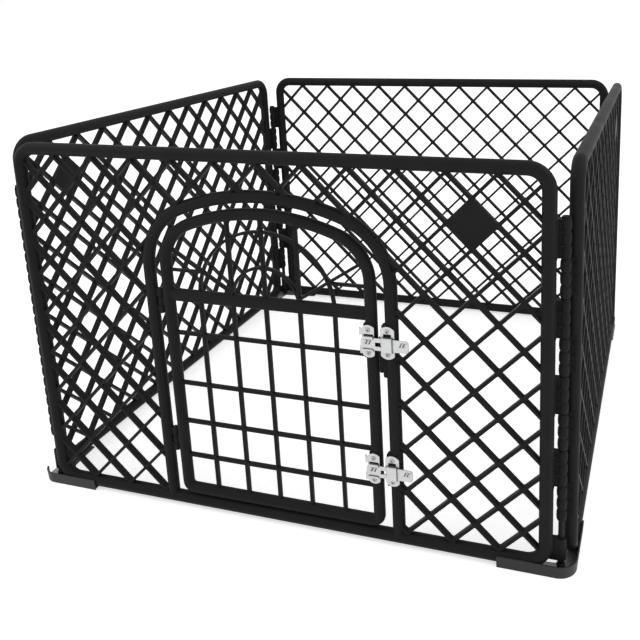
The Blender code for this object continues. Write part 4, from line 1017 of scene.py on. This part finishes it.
def keeper(height):
    """The keeper on the jamb: ears, a bridge over the strap, a slot left by its pressing above it
    and a crease below it."""
    middle = height - STRAP_BELOW
    low, high = KEEPER_X - BRIDGE_WIDTH / 2, KEEPER_X + BRIDGE_WIDTH / 2
    shells = [pressed(eared(KEEPER_X, height, KEEPER_WIDTH, KEEPER_RADIUS), PLATE_FACE, PLATE_BACK)]
    inner = STRAP_WIDTH / 2 + STRAP_CLEARANCE
    outer = inner + SHEET
    root, roof = PLATE_FACE + SHEET / 2, BRIDGE_FACE + SHEET
    above = np.array([(BRIDGE_FACE, outer - BRIDGE_EASE), (BRIDGE_FACE + BRIDGE_EASE, outer),
                      (root, outer), (root, inner), (roof + ROOF_EASE, inner),
                      (roof, inner - ROOF_EASE)])
    bridge = np.concatenate((above, above[::-1] * (1, -1)))
    shells.append(drawn(bridge + (0, middle), low, high))
    crease = oblong(-CREASE_LENGTH / 2, CREASE_LENGTH / 2, -CREASE_WIDTH / 2, CREASE_WIDTH / 2)
    crease = crease + (KEEPER_X, middle - outer - CREASE_FROM_BRIDGE)
    return cut_shells(shells, [
        lance(KEEPER_X, middle + outer, KEEPER_LANCE, KEEPER_LANCE_CORNER, 3),
        prism(crease, PLATE_FACE - SHEET, PLATE_FACE + CREASE_DEPTH)])


def strap(height):
    """The sliding strap, with its window, its louvre slots and the louvres beside them."""
    middle = height - STRAP_BELOW
    half = (STRAP_END - STRAP_START) / 2
    outline = rounded_rectangle(half, STRAP_WIDTH / 2, STRAP_CORNER, 8)
    outline = outline + (STRAP_START + half, middle)
    window = oblong(WINDOW_START, WINDOW_END, middle - WINDOW_WIDTH / 2, middle + WINDOW_WIDTH / 2)
    tools = [prism(window, STRAP_FACE - SHEET, STRAP_BACK + SHEET)]
    marks = middle + LOUVRE_RISE
    tools += [prism(slanted(x, marks, SLOT_WIDTH), STRAP_FACE - SHEET, STRAP_BACK - SLOT_FLOOR)
              for x in LOUVRE_SLOTS]
    body = cut_shells([pressed(outline, STRAP_FACE, STRAP_BACK)], tools)
    depths = STRAP_FACE + np.array((LOUVRE_ROOT, -LOUVRE_PROUD / 2, -LOUVRE_PROUD))
    return [body] + [slab(slanted(x, marks, LOUVRE_WIDTH), (0.0, 0.0, LOUVRE_TAPER), depths)
                     for x in LOUVRES]


def screw_shape():
    """A domed screw on the y axis at x = z = 0, with a crossed driving recess in its head."""
    seat = PLATE_FACE - SCREW_SEAT_GAP
    top = seat - SCREW_HEAD_HEIGHT
    profile = np.concatenate(([(0.0, SCREW_TIP), (SCREW_SHANK_RADIUS, SCREW_TIP - SCREW_TIP_LENGTH),
                               (SCREW_SHANK_RADIUS, seat)],
                              dome(SCREW_HEAD_RADIUS, -SCREW_HEAD_HEIGHT, seat, 7)))
    cross = [prism(rounded_rectangle(across, up, RECESS_CORNER, 1), top - SHEET,
                   top + RECESS_DEPTH)
             for across, up in ((RECESS_REACH, RECESS_WIDTH / 2), (RECESS_WIDTH / 2, RECESS_REACH))]
    return cut_shells([turned(profile, (0.0, 0.0), axis="Y")], cross)


latch_metal = zinc("latch_metal", tone=0.62, gloss=0.36)
screw_steel = zinc("screw_steel", tone=0.54, gloss=0.32)
screw_points, screw_faces = screw_shape()
for level, height in LATCH_HEIGHTS.items():
    made = piece("latch_plate_" + level, [guide_plate(height)], latch_metal, 0.0)
    dress(made, "door", "latch_plate_" + level)
    made = piece("latch_keeper_" + level, [keeper(height)], latch_metal, 0.0)
    dress(made, "front", "latch_keeper_" + level)
    made = piece("latch_bolt_" + level, strap(height), latch_metal, 0.0)
    dress(made, "bolt_" + level, "latch_bolt_" + level)
    made = piece("latch_pad_door_" + level, [seat_pad(PLATE_X, DOOR_SEAT_WIDTH, height)],
                 door_plastic, 0.0)
    dress(made, "door", "door")
    made = piece("latch_pad_jamb_" + level, [seat_pad(KEEPER_X, JAMB_SEAT_WIDTH, height)],
                 panel_plastic, 0.0)
    dress(made, "front", "front_panel")
    for plate_name, x, body in (("plate", PLATE_X, "door"), ("keeper", KEEPER_X, "front")):
        for end, way in (("low", -1), ("high", 1)):
            place = (x, 0.0, height + way * (EAR_HEIGHT / 2 - SCREW_FROM_END))
            name = plate_name + "_screw_" + level + "_" + end
            made = piece(name, [(screw_points + place, screw_faces)], screw_steel, 0.0)
            dress(made, body, name)


# Corner feet
# An L-shaped foot holds each corner: a thin outer wall with a little draft stands round a smooth
# floor. Where the pen opens as it folds, the wall stops short on one arm.
FOOT_OUTER = 0.4548
FOOT_ARM_LENGTH = 0.112
FOOT_ARM_WIDTH, FOOT_END_WIDTH = 0.032, 0.024
FOOT_BASE_HEIGHT, FOOT_WALL_HEIGHT = 0.0024, 0.0185
FOOT_WALL = 0.0025
FOOT_CORNER = 0.028
FOOT_DRAFT = 0.0012
FOOT_EASE = 0.0004
OPEN_WALL_LENGTH = 0.0160
FOOT_COLOUR = (0.022, 0.022, 0.023)
# Painted sheen: a pale base colour for the feet's up-facing floor, standing in for the light it
# catches.
FOOT_FLOOR_PAINTED_SHEEN = (0.16, 0.16, 0.163)
FOOT_FLOOR_IOR, FOOT_FLOOR_GLOSS = 1.7, 0.30
FOOT_FLOOR_BELOW, FOOT_FLOOR_UPRIGHT = 0.0040, 0.8
FOOT_FLOOR_SHORT, FOOT_FLOOR_RAISED = 0.0003, 0.0002
CORNERS = {"front_right": (0.0, False, "front"), "back_right": (90.0, True, "back"),
           "back_left": (180.0, False, "back"), "front_left": (-90.0, True, "front")}


def paint_floor_sheen(finish):
    """Turn the low faces that look up pale, a painted sheen for the light the feet's floor catches,
    and give them a soft coat that takes on the light surround."""
    tree = finish.node_tree
    shader = tree.nodes["Principled BSDF"]
    tests = []
    for kind, output, operation, limit in (
            ("ShaderNodeTexCoord", "Object", "LESS_THAN", FOOT_FLOOR_BELOW),
            ("ShaderNodeNewGeometry", "True Normal", "GREATER_THAN", FOOT_FLOOR_UPRIGHT)):
        source = new_node(tree, kind, {}).outputs[output]
        split = new_node(tree, "ShaderNodeSeparateXYZ", {0: source})
        tests.append(new_node(tree, "ShaderNodeMath", {0: split.outputs["Z"], 1: limit},
                              operation).outputs[0])
    both = new_node(tree, "ShaderNodeMath", {0: tests[0], 1: tests[1]}, "MULTIPLY").outputs[0]
    # Painted sheen: the up-facing low faces get the pale colour in place of the plastic's own.
    pale = new_node(tree, "ShaderNodeMixRGB", {
        "Fac": both, "Color1": shader.inputs["Base Color"].links[0].from_socket,
        "Color2": (*FOOT_FLOOR_PAINTED_SHEEN, 1.0)})
    feed(shader, {"Base Color": pale.outputs["Color"], "Coat Weight": both,
                  "Coat IOR": FOOT_FLOOR_IOR, "Coat Roughness": FOOT_FLOOR_GLOSS})


def foot_shells(open_arm):
    """A foot for the front right corner, floor and wall, in the pen's plan."""
    end, inner = FOOT_OUTER - FOOT_ARM_LENGTH, FOOT_OUTER - FOOT_ARM_WIDTH
    end_inner = FOOT_OUTER - FOOT_END_WIDTH
    centre = (FOOT_OUTER - FOOT_CORNER, FOOT_CORNER - FOOT_OUTER)
    rim = arc(centre, FOOT_CORNER, -90.0, 0.0, 14)
    floor_end = end + FOOT_FLOOR_SHORT
    floor_line = np.concatenate(([(floor_end, -FOOT_OUTER)], rim,
                                 [(FOOT_OUTER, -floor_end), (end_inner, -floor_end),
                                  (inner, -inner), (floor_end, -end_inner)]))
    behind = FOOT_WALL / 4
    lean = FOOT_DRAFT * (1 - FOOT_BASE_HEIGHT / FOOT_WALL_HEIGHT)
    floor = stacked(floor_line, (behind + FOOT_DRAFT, behind + lean, behind + lean + FOOT_EASE),
                    (FOOT_FLOOR_RAISED, FOOT_BASE_HEIGHT - FOOT_EASE, FOOT_BASE_HEIGHT))
    if open_arm:
        stop = math.degrees(math.asin((OPEN_WALL_LENGTH - FOOT_CORNER) / FOOT_CORNER))
        path = np.concatenate(([(end, -FOOT_OUTER)], arc(centre, FOOT_CORNER, -90.0, stop, 8)))
    else:
        path = np.concatenate(([(end, -FOOT_OUTER)], rim, [(FOOT_OUTER, -end)]))
    section = np.array([(-FOOT_DRAFT - FOOT_EASE, 0.0), (-FOOT_DRAFT, FOOT_EASE),
                        (0.0, FOOT_WALL_HEIGHT - FOOT_EASE), (-FOOT_EASE, FOOT_WALL_HEIGHT),
                        (FOOT_EASE - FOOT_WALL, FOOT_WALL_HEIGHT),
                        (-FOOT_WALL, FOOT_WALL_HEIGHT - FOOT_EASE), (-FOOT_WALL, 0.0)])
    points, faces = swept(path, section)
    return [floor, (points[:, [0, 2, 1]], faces)]


foot_plastic = moulded_plastic("foot_plastic", FOOT_COLOUR, gloss=0.46, shine=0.3, grain=0.0006,
                               relief=0.00003)
paint_floor_sheen(foot_plastic)
to_panel = np.array((0.0, panel_reach, -panel_middle))
for name, (turn, open_arm, body) in CORNERS.items():
    shells = foot_shells(open_arm)
    if open_arm:
        shells = [(points[:, [1, 0, 2]] * (-1, -1, 1), faces) for points, faces in shells]
    shells = [(points + to_panel, faces) for points, faces in shells]
    foot = piece("foot_" + name, shells, foot_plastic, turn)
    dress(foot, body, "foot_" + name)


# Corner rods
# A round black rod runs down through the combs of each corner. It has a low domed head on top and a
# ball-shaped collar that sits on the foot's floor.
ROD_RADIUS, ROD_SIDES = 0.00425, 28
ROD_HEAD_RADIUS, ROD_HEAD_HEIGHT, ROD_HEAD_RIM = 0.00625, 0.0025, 0.0006
ROD_SEAT_GAP = 0.0003
ROD_BALL_RADIUS, ROD_BALL_RISE = 0.0066, 0.0043333
ROD_BALL_FROM, ROD_BALL_TO = -62.0, 52.0
ROD_BALL_NECK, ROD_BALL_GAP = 0.0006, 0.0001
ROD_TIP, ROD_TIP_STEP = 0.0014, 0.0005
ROD_COLOUR = (0.010, 0.010, 0.0105)

rod_plastic = moulded_plastic("rod_plastic", ROD_COLOUR, gloss=0.48, shine=0.12, grain=0.0005,
                              relief=0.00001)
seat = panel_middle + COMB_TOP - COMB_CLEARANCE / 2 + ROD_SEAT_GAP
head = dome(ROD_HEAD_RADIUS, ROD_HEAD_HEIGHT - ROD_HEAD_RIM, seat + ROD_HEAD_RIM)
ball = arc((0.0, 0.0), 1.0, ROD_BALL_FROM, ROD_BALL_TO, 10) * (ROD_BALL_RADIUS, ROD_BALL_RISE)
ball[:, 1] += FOOT_BASE_HEIGHT + ROD_BALL_GAP - ball[0, 1]
tip_radius = ROD_RADIUS - ROD_TIP_STEP
profile = np.concatenate(([(0.0, ROD_TIP), (tip_radius, ROD_TIP), (tip_radius, FOOT_BASE_HEIGHT)],
                          ball, [(ROD_RADIUS, ball[-1, 1] + ROD_BALL_NECK), (ROD_RADIUS, seat),
                                 (ROD_HEAD_RADIUS, seat)], head))
for name, (turn, open_arm, body) in CORNERS.items():
    points, faces = turned(profile, (hinge_reach, -hinge_reach), ROD_SIDES)
    rod = piece("corner_rod_" + name, [(points + to_panel, faces)], rod_plastic, turn)
    dress(rod, body, "corner_rod_" + name)


bpy.context.scene.view_settings.view_transform = "Standard"
